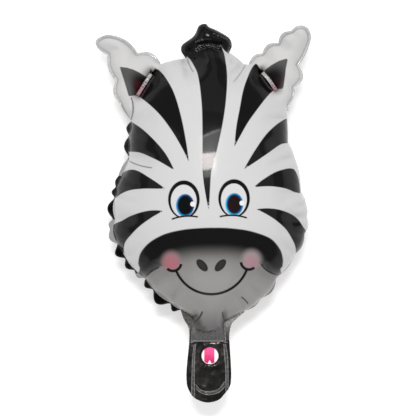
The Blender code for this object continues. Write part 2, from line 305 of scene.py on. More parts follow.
EDGE_STEP = 0.0028
cut_line, weld_line, creases = edge_lines(EDGE_STEP)
foot_count = round(np.linalg.norm(weld_line[-1] - weld_line[0]) / EDGE_STEP)
foot = [weld_line[-1] + (weld_line[0] - weld_line[-1]) * n / foot_count for n in range(1, foot_count)]
rim = np.vstack([weld_line, foot])
rim_creases = np.r_[creases, np.zeros(len(foot), bool)]
print("edge points", len(rim), "creases", int(creases.sum()))


def edge_number(spot):
    """The number of the edge's point nearest to one of the photograph's pixels."""
    return np.linalg.norm(cut_line - at(*spot), axis=1).argmin()

# %% [markdown]
# ## Filling the foil
# A pillow's swell has no simple formula, so it is made the way foil does it. First a stretched
# film over the outline is solved: its rise, square rooted, is the round swell of a full pillow.
# Then the sheet is flattened again so that no line on it is shorter than on the swell. That is
# the pattern the foil was cut to. Cloth simulation then presses air into that pattern, and the
# foil that is left over at the rim puckers by itself.


# %% Distance and inside tests
def inside(points, loop):
    """Which points lie inside a closed loop, by counting the edges to their right."""
    x, y = points[:, 0], points[:, 1]
    odd = np.zeros(len(points), bool)
    for a, b in zip(loop, np.roll(loop, -1, axis=0)):
        if a[1] == b[1]:
            continue
        spans = (a[1] > y) != (b[1] > y)
        odd ^= spans & (x < (b[0] - a[0]) * (y - a[1]) / (b[1] - a[1]) + a[0])
    return odd


def nearest_on_loop(points, loop, closed=True):
    """Each point's distance to a line of points, and how far along it the nearest spot is."""
    ends = np.roll(loop, -1, axis=0) if closed else loop[1:]
    starts = loop if closed else loop[:-1]
    run = ends - starts
    length = np.linalg.norm(run, axis=1)
    along = np.r_[0.0, np.cumsum(length)[:-1]]
    gaps, places = [], []
    for part in np.array_split(points, max(1, len(points) // 4000)):
        offset = part[:, None] - starts[None]
        t = np.clip((offset * run).sum(2) / length**2, 0, 1)
        gap = np.linalg.norm(offset - t[..., None] * run, axis=2)
        best = gap.argmin(1)
        rows = np.arange(len(part))
        gaps.append(gap[rows, best])
        places.append((along + t * length)[rows, best])
    return np.concatenate(gaps), np.concatenate(places)


# %% The sheet's triangles
RIM_ROWS = (0.00025, 0.0009, 0.0020, 0.0036, 0.0056, 0.0080)  # crowded, for the steep rim
GRID_STEP = 0.0040
CROWDING = 0.55


def rim_row(loop, depth):
    """A row of points at one depth inside the loop, without those that crowd at its corners."""
    row = loop + left_of(np.roll(loop, -1, axis=0) - np.roll(loop, 1, axis=0)) * depth
    return row[inside(row, loop) & (nearest_on_loop(row, loop)[0] > 0.8 * depth)]


def smooth_line(spots, step):
    """Points along a smooth line through a few of the photograph's pixels."""
    spots = np.array([at(*s) for s in spots])
    spots = np.vstack([2 * spots[0] - spots[1], spots, 2 * spots[-1] - spots[-2]])
    points = []
    for i in range(1, len(spots) - 2):
        count = max(2, round(np.linalg.norm(spots[i + 1] - spots[i]) / step))
        points += [curve_point(*spots[i - 1 : i + 3], n / count) for n in range(count)]
    return np.array(points + [spots[-2]])


def staggered_grid(loop, across, up):
    """Points in staggered rows inside a loop, a step apart across and a step between the rows."""
    low, high = loop.min(0), loop.max(0)
    rows = []
    for n, y in enumerate(np.arange(low[1], high[1], up)):
        x = np.arange(low[0] + (n % 2) * across / 2, high[0], across)
        rows.append(np.c_[x, np.full(len(x), y)])
    grid = np.vstack(rows)
    return grid[inside(grid, loop)]


def round_borders(first, count):
    """The sides of a closed loop of points, as pairs of their numbers."""
    return [(first + i, first + (i + 1) % count) for i in range(count)]


def cut_into_triangles(points, borders):
    """Points and triangles of a flat sheet that keeps to some borders."""
    cut = geometry.delaunay_2d_cdt([Vector(p) for p in points], borders, [], 1, 1e-7)
    return np.array([tuple(v) for v in cut[0]]), np.array(cut[2])


def sides_of(triangles):
    """Each side of some triangles once, as the numbers of its two ends."""
    sides = np.vstack([triangles[:, pair] for pair in ([0, 1], [1, 2], [2, 0])])
    return np.unique(np.sort(sides, axis=1), axis=0).T


def sheet_triangles(loop, lines):
    """The flat sheet inside the loop, cut into triangles that keep to the pressed lines."""
    grid = staggered_grid(loop, GRID_STEP, GRID_STEP * math.sqrt(3) / 2)
    grid = grid[nearest_on_loop(grid, loop)[0] > RIM_ROWS[-1] + GRID_STEP / 2]
    fixed = np.vstack(lines)
    free = []
    for group, room in [
        *((rim_row(loop, depth), max(CROWDING * depth / 2, 0.0008)) for depth in RIM_ROWS),
        (grid, GRID_STEP * CROWDING),
    ]:
        far = np.linalg.norm(group[:, None] - fixed[None], axis=2).min(1) > room
        free.append(group[far])
    points = np.vstack([loop, *lines, *free])
    borders = round_borders(0, len(loop))
    first = len(loop)
    for line in lines:
        borders += [(first + i, first + i + 1) for i in range(len(line) - 1)]
        first += len(line)
    places, triangles = cut_into_triangles(points, borders)
    return places, triangles[inside(places[triangles].mean(1), loop)]


WELD_BAND = 0.0018


def weld_band(spots):
    """The two edges of a flat welded band along a line."""
    middle = smooth_line(spots, EDGE_STEP)
    across = left_of(np.gradient(middle, axis=0))
    return [middle + across * WELD_BAND, middle - across * WELD_BAND]


ear_welds = [smooth_line(k, EDGE_STEP) for k in (LEFT_EAR_WELD, RIGHT_EAR_WELD)]
pressed = [*weld_band(LEFT_EAR_WELD), *weld_band(RIGHT_EAR_WELD)]
places, triangles = sheet_triangles(rim, pressed)
on_rim = nearest_on_loop(places, rim)[0] < 1e-6
on_press = np.linalg.norm(places[:, None] - np.vstack(pressed)[None], axis=2).min(1) < 1e-6
print("one sheet has", len(places), "points and", len(triangles), "triangles")

# %% The swell of a full pillow
FULLNESS = 1.2  # gives a round pillow 0.6 as thick as it is wide
NECK_PRESSURE = 0.25
TUFT_PRESSURE = 2.2
TUFT_LEAN = 0.016
NECK_TOP = at_row(300)
TUFT_FOOT, TUFT_TOP = at_row(56), at_row(24)


def film_rise(places, triangles, held, push):
    """The rise of a stretched film that is held at some points and pushed up by push."""
    count = len(places)
    weight, left, right = [], [], []
    area_share = np.zeros(count)
    for k in range(3):
        a, b, c = (triangles[:, (k + n) % 3] for n in range(3))
        to_b, to_c = places[b] - places[a], places[c] - places[a]
        double_area = np.abs(to_b[:, 0] * to_c[:, 1] - to_b[:, 1] * to_c[:, 0])
        weight.append((to_b * to_c).sum(1) / np.maximum(double_area, 1e-12) / 2)
        left.append(b)
        right.append(c)
        np.add.at(area_share, a, double_area / 6)
    weight, left, right = (np.concatenate(part) for part in (weight, left, right))

    def pull(u):
        force = weight * (u[left] - u[right])
        return (np.bincount(left, force, count) - np.bincount(right, force, count)) * ~held

    rise = np.zeros(count)
    rest = area_share * push * ~held
    step, size = rest.copy(), rest @ rest
    target = 1e-16 * size
    while size > target:
        force = pull(step)
        share = size / (step @ force)
        rise += share * step
        rest = rest - share * force
        new_size = rest @ rest
        step = rest + new_size / size * step
        size = new_size
    return np.maximum(rise, 0)


height = places[:, 1]
push = NECK_PRESSURE + (1 - NECK_PRESSURE) * smooth_step(at_row(VALVE_WELD), NECK_TOP, height)
push *= 1 + (TUFT_PRESSURE - 1) * smooth_step(TUFT_FOOT, TUFT_TOP, height)
held = on_rim | on_press
swell = FULLNESS * np.sqrt(film_rise(places, triangles, held, push))


def seam_lean(height):
    """How far the seam bends forward at a height up the head."""
    return TUFT_LEAN * smooth_step(TUFT_FOOT, TUFT_TOP, height)


lean = seam_lean(height)
print("swell", round(swell.max() * 1000, 1), "mm each way")

# %% The pattern the foil was cut to
FLATTENING_ROUNDS = 1500
SHRINK_BACK = 0.02  # how strongly a line that came out too long is drawn in again
OVERSHOOT = 1.6  # each round moves further than the mean, which settles sooner

side_a, side_b = sides_of(triangles)
filled = np.c_[places, swell]
true_length = np.linalg.norm(filled[side_a] - filled[side_b], axis=1)
pattern = places.copy()
neighbours = np.bincount(side_a, minlength=len(places)) + np.bincount(side_b, minlength=len(places))
for _ in range(FLATTENING_ROUNDS):
    run = pattern[side_b] - pattern[side_a]
    length = np.linalg.norm(run, axis=1)
    miss = true_length - length
    move = run / length[:, None] * (miss * np.where(miss > 0, 1.0, SHRINK_BACK) / 2)[:, None]
    for axis in range(2):
        shift = np.bincount(side_b, move[:, axis], len(places))
        shift -= np.bincount(side_a, move[:, axis], len(places))
        pattern[:, axis] += OVERSHOOT * shift / neighbours
print("the flat pattern measures", (np.ptp(pattern, axis=0) * 1000).round(), "mm")

# %% Two sheets joined at the weld
CREASE_DEPTH = 0.45
CREASE_WIDTH = 0.0030
CREASE_REACH = 0.015
CREASE_END = (0.012, 0.034)  # past this depth the foil is drawn tight
UNEVENNESS = 0.00006

rng = np.random.default_rng(7)
gap, along = nearest_on_loop(places, rim)
rim_lengths = np.linalg.norm(np.roll(rim, -1, axis=0) - rim, axis=1)
crease_spots = np.r_[0.0, np.cumsum(rim_lengths)[:-1]][rim_creases]
reaches = CREASE_REACH * rng.uniform(0.6, 1.9, len(crease_spots))
depths = CREASE_DEPTH * rng.uniform(0.5, 1.15, len(crease_spots))
beside = np.abs(along[:, None] - crease_spots[None])
beside = np.minimum(beside, rim_lengths.sum() - beside)
crease = (depths * np.exp(-beside / CREASE_WIDTH) * np.exp(-gap[:, None] / reaches)).max(1)
crease *= 1 - smooth_step(*CREASE_END, gap)
start_swell = swell * (1 - crease)
for deep, wide, spots in FOLDS:
    reach = nearest_on_loop(places, smooth_line(spots, 0.002), closed=False)[0] / (wide * PIXEL)
    start_swell -= np.minimum(deep * PIXEL, 0.5 * start_swell) * np.exp(-(reach**2))

count = len(places)
loose = np.flatnonzero(~held)
back_index = np.arange(count)
back_index[loose] = count + np.arange(len(loose))
front_points = np.c_[places, lean + start_swell]
back_points = np.c_[places, lean - start_swell][loose]
start_points = np.vstack([front_points, back_points])
free_points = np.r_[loose, back_index[loose]]
smooth_points = start_points.copy()
start_points[free_points] += rng.normal(0, UNEVENNESS, (len(free_points), 3))
flat_pattern = np.c_[pattern, np.zeros(count)]
pattern_points = np.vstack([flat_pattern, flat_pattern[loose]])
front_faces = triangles.tolist()
back_faces = back_index[triangles[:, ::-1]].tolist()
print("envelope", len(start_points), "points,", 2 * len(triangles), "triangles")

# %% Blow it up
CLOTH_SCALE = 10  # the cloth solver suits things a few metres across
FRAMES = 30


def blow_up(points, rest, faces, held_points):
    """Cloth simulation of the welded sheets with air pressed in. Returns the filled points."""
    cloth = add_mesh("cloth", (points * CLOTH_SCALE).tolist(), [], faces)
    cloth.shape_key_add(name="Basis")
    key = cloth.shape_key_add(name="pattern")
    key.data.foreach_set("co", (rest * CLOTH_SCALE).ravel().astype(np.float32))
    key.value = 0
    cloth.vertex_groups.new(name="held").add(held_points.tolist(), 1.0, "REPLACE")
    modifier = cloth.modifiers.new("Cloth", "CLOTH")
    settings = modifier.settings
    settings.quality = 8
    settings.mass = 0.3
    settings.tension_stiffness = 80
    settings.compression_stiffness = 80
    settings.shear_stiffness = 40
    settings.bending_stiffness = 0.02
    settings.air_damping = 1
    settings.use_pressure = True
    settings.uniform_pressure_force = 4
    settings.vertex_group_mass = "held"
    settings.rest_shape_key = key
    settings.effector_weights.gravity = 0
    modifier.collision_settings.use_collision = False
    modifier.point_cache.frame_end = FRAMES + 1
    for number in range(1, FRAMES + 1):
        bpy.context.scene.frame_set(number)
    shape = cloth.evaluated_get(bpy.context.evaluated_depsgraph_get()).to_mesh()
    result = np.empty(len(points) * 3, np.float32)
    shape.vertices.foreach_get("co", result)
    bpy.data.objects.remove(cloth)
    return result.reshape(-1, 3).astype(float) / CLOTH_SCALE


body_points = start_points
body_points = blow_up(start_points, pattern_points, front_faces + back_faces, np.flatnonzero(held))
moved = np.linalg.norm(body_points - start_points, axis=1)
print("the foil moved", round(moved.mean() * 1000, 2), "mm, at most", round(moved.max() * 1000, 2))

# %% [markdown]
# Away from the edge real foil is drawn tight and smooth, so what is left of the simulation's
# unevenness there is evened out. On the left the seam lies a little to the front, so the back
# sheet bulges past it: its points near the seam move out as far as the photograph's dark lobes.

# %% Even out the middle and push the back sheet past the seam
EVENING_ROUNDS = 160
PUCKER_DEPTH = 0.012
LOBE_DROP = 0.007
LOBE_REACH = 1.55
RIGHT_SHARE = 0.62

link_a, link_b = sides_of(np.array(front_faces + back_faces))
total = len(start_points)
degree = np.bincount(link_a, minlength=total) + np.bincount(link_b, minlength=total)
depth = np.r_[gap, gap[loose]]
freedom = smooth_step(PUCKER_DEPTH, 3.2 * PUCKER_DEPTH, depth)[:, None]
change = body_points - smooth_points
for _ in range(EVENING_ROUNDS):
    around = np.zeros_like(change)
    for axis in range(3):
        around[:, axis] = np.bincount(link_a, change[link_b, axis], total)
        around[:, axis] += np.bincount(link_b, change[link_a, axis], total)
    change += freedom * (around / degree[:, None] - change)
body_points = smooth_points + change

overhang = np.vstack([cut_line - weld_line, np.zeros((len(foot), 2))])
for first, last in (
    (RIGHT_FOOT, RIGHT_SHOULDER),
    (RIGHT_EAR_FOOT, (185, 50)),
    ((185, 52), LEFT_EAR_FOOT),
    (LEFT_SHOULDER, LEFT_FOOT),
):
    overhang[edge_number(first) : edge_number(last) + 1] = 0
overhang[rim[:, 0] > 0.03] *= RIGHT_SHARE
rim_place = np.r_[0.0, np.cumsum(rim_lengths)]
push_out = [np.interp(along, rim_place, np.r_[part, part[0]]) for part in overhang.T]
push_out = LOBE_REACH * np.array(push_out).T
back_lean = lean[loose]
fall = np.maximum(back_lean - body_points[count:, 2], 0) / LOBE_DROP
body_points[count:, :2] += push_out[loose] * (fall * np.exp(1 - fall))[:, None]
print("the back reaches", round(np.linalg.norm(overhang, axis=1).max() * 1000, 1), "mm past the seam")

# %% The envelope's mesh
body_points[:, 2] = np.maximum(body_points[:, 2] + SEAM_LEVEL, 0)
raw = add_mesh("raw", body_points.tolist(), [], front_faces + back_faces)
face_sheet = np.r_[np.zeros(len(front_faces), int), np.ones(len(back_faces), int)]
raw.data.polygons.foreach_set("material_index", face_sheet)
rounding = raw.modifiers.new("rounding", "SUBSURF")
rounding.levels = rounding.render_levels = 1


def frozen(obj, name):
    """The object's shape with its modifiers worked in, as a new plain mesh object."""
    mesh = bpy.data.meshes.new_from_object(obj.evaluated_get(bpy.context.evaluated_depsgraph_get()))
    mesh.name = name
    bpy.data.objects.remove(obj)
    return add_object(name, mesh)


foil_body = frozen(raw, "foil_body")
foil_body.data.shade_smooth()
print("foil_body", len(foil_body.data.polygons), "faces")

# %% [markdown]
# ## The print
# Stripes, muzzle and ear linings are shapes with smooth edges, so each is an outline of a few
# knots. For each point of the foil the distance to the nearest edge is kept as an attribute, with
# ink where it is positive. A material turns it into a crisp edge at any size, and the print
# puckers with the foil.

# %% Outlines of the print, in the photograph's pixels
# Each stripe is two edges that meet at its tip
STRIPES = [
    ([(184, 46), (186.8, 55.8), (190.2, 59.6), (193.6, 65.2), (196.9, 71.8), (199.1, 81.4),
      (200.8, 94.4), (202.0, 110), (202.4, 129), (202.5, 153), (202.6, 170), (203.9, 184), (206, 197),
      (208.9, 212)],
     [(218.6, 38), (221.8, 47), (224.4, 55), (225.7, 62.3), (226.7, 69.1), (227.2, 80), (226.4, 95),
      (224.8, 110), (221.6, 129), (216.6, 151), (213.2, 163), (211, 174), (210, 190), (208.9, 212)]),
    ([(155.7, 67.3), (164.2, 75.7), (173.9, 92.7), (181.2, 117), (186, 141.2), (189.2, 163)],
     [(137.1, 95.1), (149.7, 104.8), (161.8, 117), (173.9, 133.9), (183.6, 150.9), (189.2, 163)]),
    ([(120, 113), (132, 121.9), (141.8, 128.6), (152.5, 138.4), (161.4, 148.2), (167.7, 157.1),
      (174.6, 170.5)],
     [(116, 153), (129.3, 151.8), (140, 152.7), (150.7, 157.1), (161.4, 162.5), (174.6, 170.5)]),
    ([(108, 190), (118, 177), (125.3, 171.4), (132, 169.6), (139.1, 171.4), (148, 176.8), (157, 182.6),
      (165.4, 188.8)],
     [(104, 206), (115.9, 197.8), (121.3, 193.8), (130.2, 190.2), (143.6, 188.7), (157, 188.7),
      (165.4, 188.8)]),
    ([(106, 229), (115.9, 223.2), (121.3, 221), (130.2, 216.1), (141.8, 212.1), (152.5, 210.3),
      (163.7, 210.7)],
     [(123.6, 262), (123.6, 254.7), (124.9, 243.1), (131.1, 234.8), (140, 225.9), (152.5, 217),
      (163.7, 210.7)]),
    ([(259.0, 67.5), (256.6, 63.8), (253.6, 65.4), (249.2, 73.4), (243.4, 89.5), (239.4, 110),
      (236.3, 127), (234.3, 147)],
     [(276.5, 89.6), (272.6, 91.2), (265.7, 98.4), (256.8, 110), (247.9, 122.5), (239.8, 136.8),
      (234.3, 147)]),
    ([(296, 116), (288, 118.5), (283.6, 119.8), (274.6, 126.1), (265.7, 135), (256.8, 147.5),
      (249.6, 159.1), (243.8, 169.4)],
     [(298, 141), (287.1, 143), (280, 144.8), (268.4, 152.9), (256.8, 160.9), (243.8, 169.4)]),
    ([(300.4, 190.4), (298.8, 179.6), (295.2, 170.7), (291.6, 168.5), (285.4, 168.9), (274.6, 172.5),
      (263, 179.6), (253.4, 187.2)],
     [(300.4, 193.2), (294.3, 192.1), (287.1, 189), (276.4, 186.8), (265.7, 186.3), (253.4, 187.2)]),
    ([(312, 236), (304.6, 228.9), (298.9, 220.3), (291.2, 214.1), (279.8, 209.8), (268.3, 208.3),
      (255.8, 209)],
     [(296, 264), (296, 253.8), (295.1, 246.1), (291.2, 237.5), (285.5, 228.9), (275.9, 220.3),
      (265.4, 213.6), (255.8, 209)]),
]
TUFT_PRINT = [
    (184.6, 57.6), (186.0, 58.6), (187.6, 55.8), (190, 53), (196, 49.5), (205, 47.6), (214, 47),
    (219.5, 46.6), (221.2, 46.6), (224.5, 50.6), (228.6, 53.4), (230, 52.6), (240, 48), (238, 30),
    (205, 15), (170, 35), (172, 53),
]
MUZZLE = [
    (138.5, 273), (138.3, 263), (139.8, 254.6), (144.3, 247.5), (152.3, 240.4), (165.7, 233.7),
    (183.6, 229.6), (201.4, 228), (214.8, 227.7), (228.2, 228), (246.1, 230.1), (259.5, 233.7),
    (270, 238.1), (276, 243.5), (281, 251), (283, 259.5), (282.6, 266.2), (281.5, 273), (300, 300),
    (330, 360), (210, 400), (90, 360), (120, 300),
]
EAR_LININGS = [
    [(119.6, 66.8), (127, 67.6), (133.5, 69.6), (140, 72.8), (147.5, 77.6), (138, 95), (128.8, 96.2),
     (124, 80.5)],
    [(287.9, 58.2), (279, 60.8), (271, 65.3), (264.2, 70.6), (272, 80), (277, 89), (280, 88.9),
     (283.2, 88.9), (284.9, 77.3), (286.0, 67.8)],
]

# The white foil past the ears' welds is painted greyer, a painted shade on the ears, and below the cheeks'
# creases the muzzle is plain
EARS = [
    [(160, 60), (152, 72), (137.5, 96), (132.6, 99), (131, 119), (100, 119), (84, 30), (140, 25)],
    [(248, 62.5), (260, 70), (279, 91), (289, 108), (330, 100), (320, 10), (262, 24)],
]
LOWER_FACE = [
    (120, 290), (144.5, 278), (152, 271.4), (159.5, 266.8), (170, 264), (210, 262), (250, 262),
    (261, 264.2), (270.5, 271.8), (278.5, 274.8), (300, 282), (330, 380), (90, 380),
]


# %% Closed lines and depths of the print
PRINT_STEP = 0.0015
PRINT_REACH = 0.008  # how far from a shape its depth is still told
MUZZLE_REACH = 0.05


def closed_line(spots):
    """A smooth closed line through some of the photograph's pixels."""
    points = np.array([at(*s) for s in spots])
    out = []
    for i in range(len(points)):
        near = [points[(i + n) % len(points)] for n in (-1, 0, 1, 2)]
        count = max(1, round(np.linalg.norm(near[2] - near[1]) / PRINT_STEP))
        out += [curve_point(*near, n / count) for n in range(count)]
    return np.array(out)


def straight_loop(spots):
    """A closed line of straight stretches between some of the photograph's pixels."""
    points = np.array([at(*s) for s in spots])
    out = []
    for a, b in zip(points, np.roll(points, -1, axis=0)):
        count = max(1, round(np.linalg.norm(b - a) / PRINT_STEP))
        out += [a + (b - a) * n / count for n in range(count)]
    return np.array(out)


def stripe_loop(first, second):
    """The closed line round a stripe: down one edge to the tip and up the other."""
    up = smooth_line(second, PRINT_STEP)[::-1]
    return np.vstack([smooth_line(first, PRINT_STEP), up[1:]])


def ink_depth(points, loops, reach=PRINT_REACH):
    """How far inside the nearest of some loops each point is: negative outside them all."""
    depth = np.full(len(points), -reach)
    for loop in loops:
        near = np.flatnonzero(((points > loop.min(0) - reach) & (points < loop.max(0) + reach)).all(1))
        if not len(near):
            continue
        gap = nearest_on_loop(points[near], loop)[0]
        depth[near] = np.maximum(depth[near], np.where(inside(points[near], loop), gap, -gap))
    return depth


def store(mesh, name, values):
    """Keeps one number for each of a mesh's points, under a name that materials can read."""
    mesh.attributes.new(name, "FLOAT", "POINT")
    mesh.attributes[name].data.foreach_set("value", values.astype(np.float32))


def photo_place(points):
    """Where the camera's ray through each point meets the weld's level."""
    share = (CAMERA_HEIGHT - SEAM_LEVEL) / (CAMERA_HEIGHT - points[:, 2])
    return view_middle + (points[:, :2] - view_middle) * share[:, None]


def mesh_points(mesh):
    """The places of a mesh's points."""
    points = np.empty(len(mesh.vertices) * 3, np.float32)
    mesh.vertices.foreach_get("co", points)
    return points.reshape(-1, 3).astype(float)


# %% [markdown]
# Each point of the filled foil keeps its place in the artwork and its depth in each printed
# shape. The back is black but for a few pale stretches of its rim, which show as pale lobes.

# %% The print on the foil
# First and last row of pixels, whether on the right, how far from the seam, and how pale
PALE_STRETCHES = [
    (90, 121.5, False, 0.020, 1.0), (160, 175.5, False, 0.018, 1.0), (219.6, 244, False, 0.018, 1.0),
    (273, 279.6, False, 0.014, 1.0), (90, 237, True, 0.014, 1.0), (272, 312, True, 0.014, 0.6),
]

spots = photo_place(mesh_points(foil_body.data))
foil_body.data.attributes.new("print", "FLOAT_VECTOR", "POINT")
packed = np.c_[spots, np.zeros(len(spots))].astype(np.float32)
foil_body.data.attributes["print"].data.foreach_set("vector", packed.ravel())
for name, loops in (
    ("stripe", [stripe_loop(*s) for s in STRIPES]),
    ("tuft", [closed_line(TUFT_PRINT)]),
    ("lining", [straight_loop(s) for s in EAR_LININGS]),
    ("ear", [straight_loop(s) for s in EARS]),
    ("lower_face", [straight_loop(LOWER_FACE)]),
):
    store(foil_body.data, name, ink_depth(spots, loops))
store(foil_body.data, "muzzle", ink_depth(spots, [closed_line(MUZZLE)], MUZZLE_REACH))
from_seam = nearest_on_loop(spots, rim)[0]
store(foil_body.data, "seam", from_seam)
pale = np.zeros(len(spots))
pale_depth = np.full(len(spots), -0.05)
for first_row, last_row, on_right, reach, strength in PALE_STRETCHES:
    top, low_end = at_row(first_row), at_row(last_row)
    along = (spots[:, 1] - (top + low_end) / 2) / ((top - low_end) / 2)
    bulge = np.sqrt(np.clip(1 - along**4, 0, 1)) * (1 + 0.14 * np.sin(spots[:, 1] * 260))
    here = ((spots[:, 0] > 0) == on_right) & (abs(along) < 1.15)
    pale[here] = strength
    pale_depth[here] = np.maximum(pale_depth, reach * bulge - from_seam)[here]
store(foil_body.data, "pale", pale)
store(foil_body.data, "pale_depth", pale_depth)
print("printed shapes", len(STRIPES) + len(EAR_LININGS) + 2)

# %% [markdown]
# ## Finishes
# Everything is foil with ink on it, so one group of nodes makes the foil's unevenness for all
# the materials, one paints ovals (eyes, nostrils, cheeks) and one paints arcs (smile, lids). The
# shader itself stays in each material.


# %% Node helpers
def add_node(tree, kind, inputs=(), **settings):
    """A node with its settings, and each input linked or filled in."""
    node = tree.nodes.new(kind)
    for name, value in settings.items():
        setattr(node, name, value)
    for slot, value in dict(inputs).items():
        if isinstance(value, bpy.types.NodeSocket):
            tree.links.new(value, node.inputs[slot])
        else:
            node.inputs[slot].default_value = value
    return node


def sums(tree, operation, *values):
    """The result of one Math node."""
    return add_node(tree, "ShaderNodeMath", enumerate(values), operation=operation).outputs[0]


def times(tree, first, second):
    """Two values multiplied."""
    return sums(tree, "MULTIPLY", first, second)


def apart(tree, first, second):
    """How far two values are from each other."""
    return sums(tree, "ABSOLUTE", sums(tree, "SUBTRACT", first, second))


def vectors(tree, operation, *values):
    """The result of one Vector Math node, a number for a length or a dot product."""
    node = add_node(tree, "ShaderNodeVectorMath", enumerate(values), operation=operation)
    return node.outputs["Value" if operation in ("LENGTH", "DOT_PRODUCT") else "Vector"]


def fade(tree, value, low, high, to_low=0.0, to_high=1.0):
    """value turned smoothly from to_low at low into to_high at high."""
    inputs = {"Value": value, "From Min": low, "From Max": high, "To Min": to_low, "To Max": to_high}
    return add_node(tree, "ShaderNodeMapRange", inputs, interpolation_type="SMOOTHSTEP").outputs[0]


def tinted(tree, share, under, over):
    """Colour over laid on colour under where share is 1."""
    mix = add_node(tree, "ShaderNodeMix", {0: share}, data_type="RGBA")
    for slot, colour in ((6, under), (7, over)):
        if isinstance(colour, bpy.types.NodeSocket):
            tree.links.new(colour, mix.inputs[slot])
        else:
            mix.inputs[slot].default_value = (*colour, 1)
    return mix.outputs[2]


def object_place(tree):
    """The place on the object, in metres."""
    return add_node(tree, "ShaderNodeTexCoord").outputs["Object"]


def noise_at(tree, place, scale, detail):
    """A cloudy share, the same each time, that varies over the place."""
    inputs = {"Vector": place, "Scale": scale, "Detail": detail}
    return add_node(tree, "ShaderNodeTexNoise", inputs).outputs["Fac"]


def grey(level):
    """A colour without hue."""
    return (level, level, level)


def stored(tree, name):
    """A number that is kept for each of the mesh's points."""
    return add_node(tree, "ShaderNodeAttribute", attribute_name=name).outputs["Fac"]


def new_group(name, takes, gives):
    """An empty shader node group with named inputs and outputs."""
    group = bpy.data.node_groups.new(name, "ShaderNodeTree")
    for label, kind in takes:
        group.interface.new_socket(label, in_out="INPUT", socket_type="NodeSocket" + kind)
    for label, kind in gives:
        group.interface.new_socket(label, in_out="OUTPUT", socket_type="NodeSocket" + kind)
    return group, group.nodes.new("NodeGroupInput").outputs, group.nodes.new("NodeGroupOutput").inputs


def use_group(tree, group, **inputs):
    """One use of a node group. An underscore in an input's name stands for a space."""
    node = add_node(tree, "ShaderNodeGroup", node_tree=group)
    for slot, value in inputs.items():
        label = slot.replace("_", " ")
        if isinstance(value, bpy.types.NodeSocket):
            tree.links.new(value, node.inputs[label])
        else:
            node.inputs[label].default_value = value
    return node.outputs


# %% Printed oval
printed_oval, take, give = new_group(
    "printed oval",
    [("Place", "Vector"), ("Middle", "Vector"), ("Half size", "Vector"),
     ("Turn", "Float"), ("Soft", "Float")],
    [("Ink", "Float")],
)
offset = vectors(printed_oval, "SUBTRACT", take["Place"], take["Middle"])
inputs = {"Vector": offset, "Angle": take["Turn"]}
turned = add_node(printed_oval, "ShaderNodeVectorRotate", inputs, rotation_type="Z_AXIS").outputs[0]
reach = vectors(printed_oval, "LENGTH", vectors(printed_oval, "DIVIDE", turned, take["Half size"]))
low = sums(printed_oval, "SUBTRACT", 1.0, take["Soft"])
high = sums(printed_oval, "ADD", 1.0, take["Soft"])
printed_oval.links.new(fade(printed_oval, reach, low, high, 1.0, 0.0), give["Ink"])

# %% Printed arc
printed_arc, take, give = new_group(
    "printed arc",
    [("Place", "Vector"), ("Middle", "Vector"), ("Radius", "Float"), ("Half stroke", "Float"),
     ("Towards", "Vector"), ("Spread", "Float")],
    [("Ink", "Float")],
)
offset = vectors(printed_arc, "SUBTRACT", take["Place"], take["Middle"])
gap = apart(printed_arc, vectors(printed_arc, "LENGTH", offset), take["Radius"])
thin = times(printed_arc, take["Half stroke"], 0.6)
thick = times(printed_arc, take["Half stroke"], 1.4)
stroke = fade(printed_arc, gap, thin, thick, 1.0, 0.0)
facing = vectors(printed_arc, "DOT_PRODUCT", vectors(printed_arc, "NORMALIZE", offset), take["Towards"])
start = sums(printed_arc, "SUBTRACT", take["Spread"], 0.01)
ends = fade(printed_arc, facing, start, take["Spread"])
printed_arc.links.new(times(printed_arc, stroke, ends), give["Ink"])

# %% Uneven foil
uneven_foil, take, give = new_group(
    "uneven foil",
    [("Place", "Vector"), ("Crumple size", "Float"), ("Crumple", "Float")],
    [("Height", "Float"), ("Rubbed", "Float")],
)
broad = add_node(uneven_foil, "ShaderNodeTexNoise", {"Vector": take["Place"], "Scale": 60.0, "Detail": 1.0})
share = sums(uneven_foil, "DIVIDE", 1.0, take["Crumple size"])
inputs = {"Vector": take["Place"], "Scale": share}
facets = add_node(uneven_foil, "ShaderNodeTexVoronoi", inputs, feature="SMOOTH_F1")
lines = add_node(uneven_foil, "ShaderNodeTexNoise", {**inputs, "Detail": 3.0, "Distortion": 1.2})
crumpled = sums(uneven_foil, "ADD", facets.outputs["Distance"], lines.outputs["Fac"])
crumpled = times(uneven_foil, crumpled, take["Crumple"])
fine = times(uneven_foil, broad.outputs["Fac"], 0.012)
uneven_foil.links.new(sums(uneven_foil, "ADD", fine, crumpled), give["Height"])
uneven_foil.links.new(fade(uneven_foil, broad.outputs["Fac"], 0.35, 0.75), give["Rubbed"])


# %% A foil material to start from
def foil_material(name, roughness, coat, specular=0.12):
    """A material with its tree and shader, and the plain settings on the shader's own sockets."""
    material = bpy.data.materials.new(name)
    material.use_nodes = True
    tree = material.node_tree
    shader = tree.nodes["Principled BSDF"]
    shader.inputs["Roughness"].default_value = roughness
    shader.inputs["Coat Weight"].default_value = coat
    shader.inputs["Coat Roughness"].default_value = 0.06
    shader.inputs["Specular IOR Level"].default_value = specular
    return material, tree, shader


def finish_foil(
    tree, shader, colour, crumple, crumple_size, strength, roughness, grooves=0.0, matte=0.0
):
    """Links a foil's colour, its unevenness and its slightly uneven gloss to the shader."""
    place = object_place(tree)
    foil = use_group(tree, uneven_foil, Place=place, Crumple_size=crumple_size, Crumple=crumple)
    height = sums(tree, "SUBTRACT", foil["Height"], times(tree, grooves, 0.3))
    bump = add_node(tree, "ShaderNodeBump", {"Height": height, "Strength": strength, "Distance": 0.0012})
    gloss = fade(tree, foil["Rubbed"], 0.0, 1.0, roughness * 0.85, roughness * 1.2)
    gloss = sums(tree, "ADD", gloss, times(tree, matte, 0.3))
    tree.links.new(colour, shader.inputs["Base Color"])
    tree.links.new(bump.outputs[0], shader.inputs["Normal"])
    tree.links.new(gloss, shader.inputs["Roughness"])


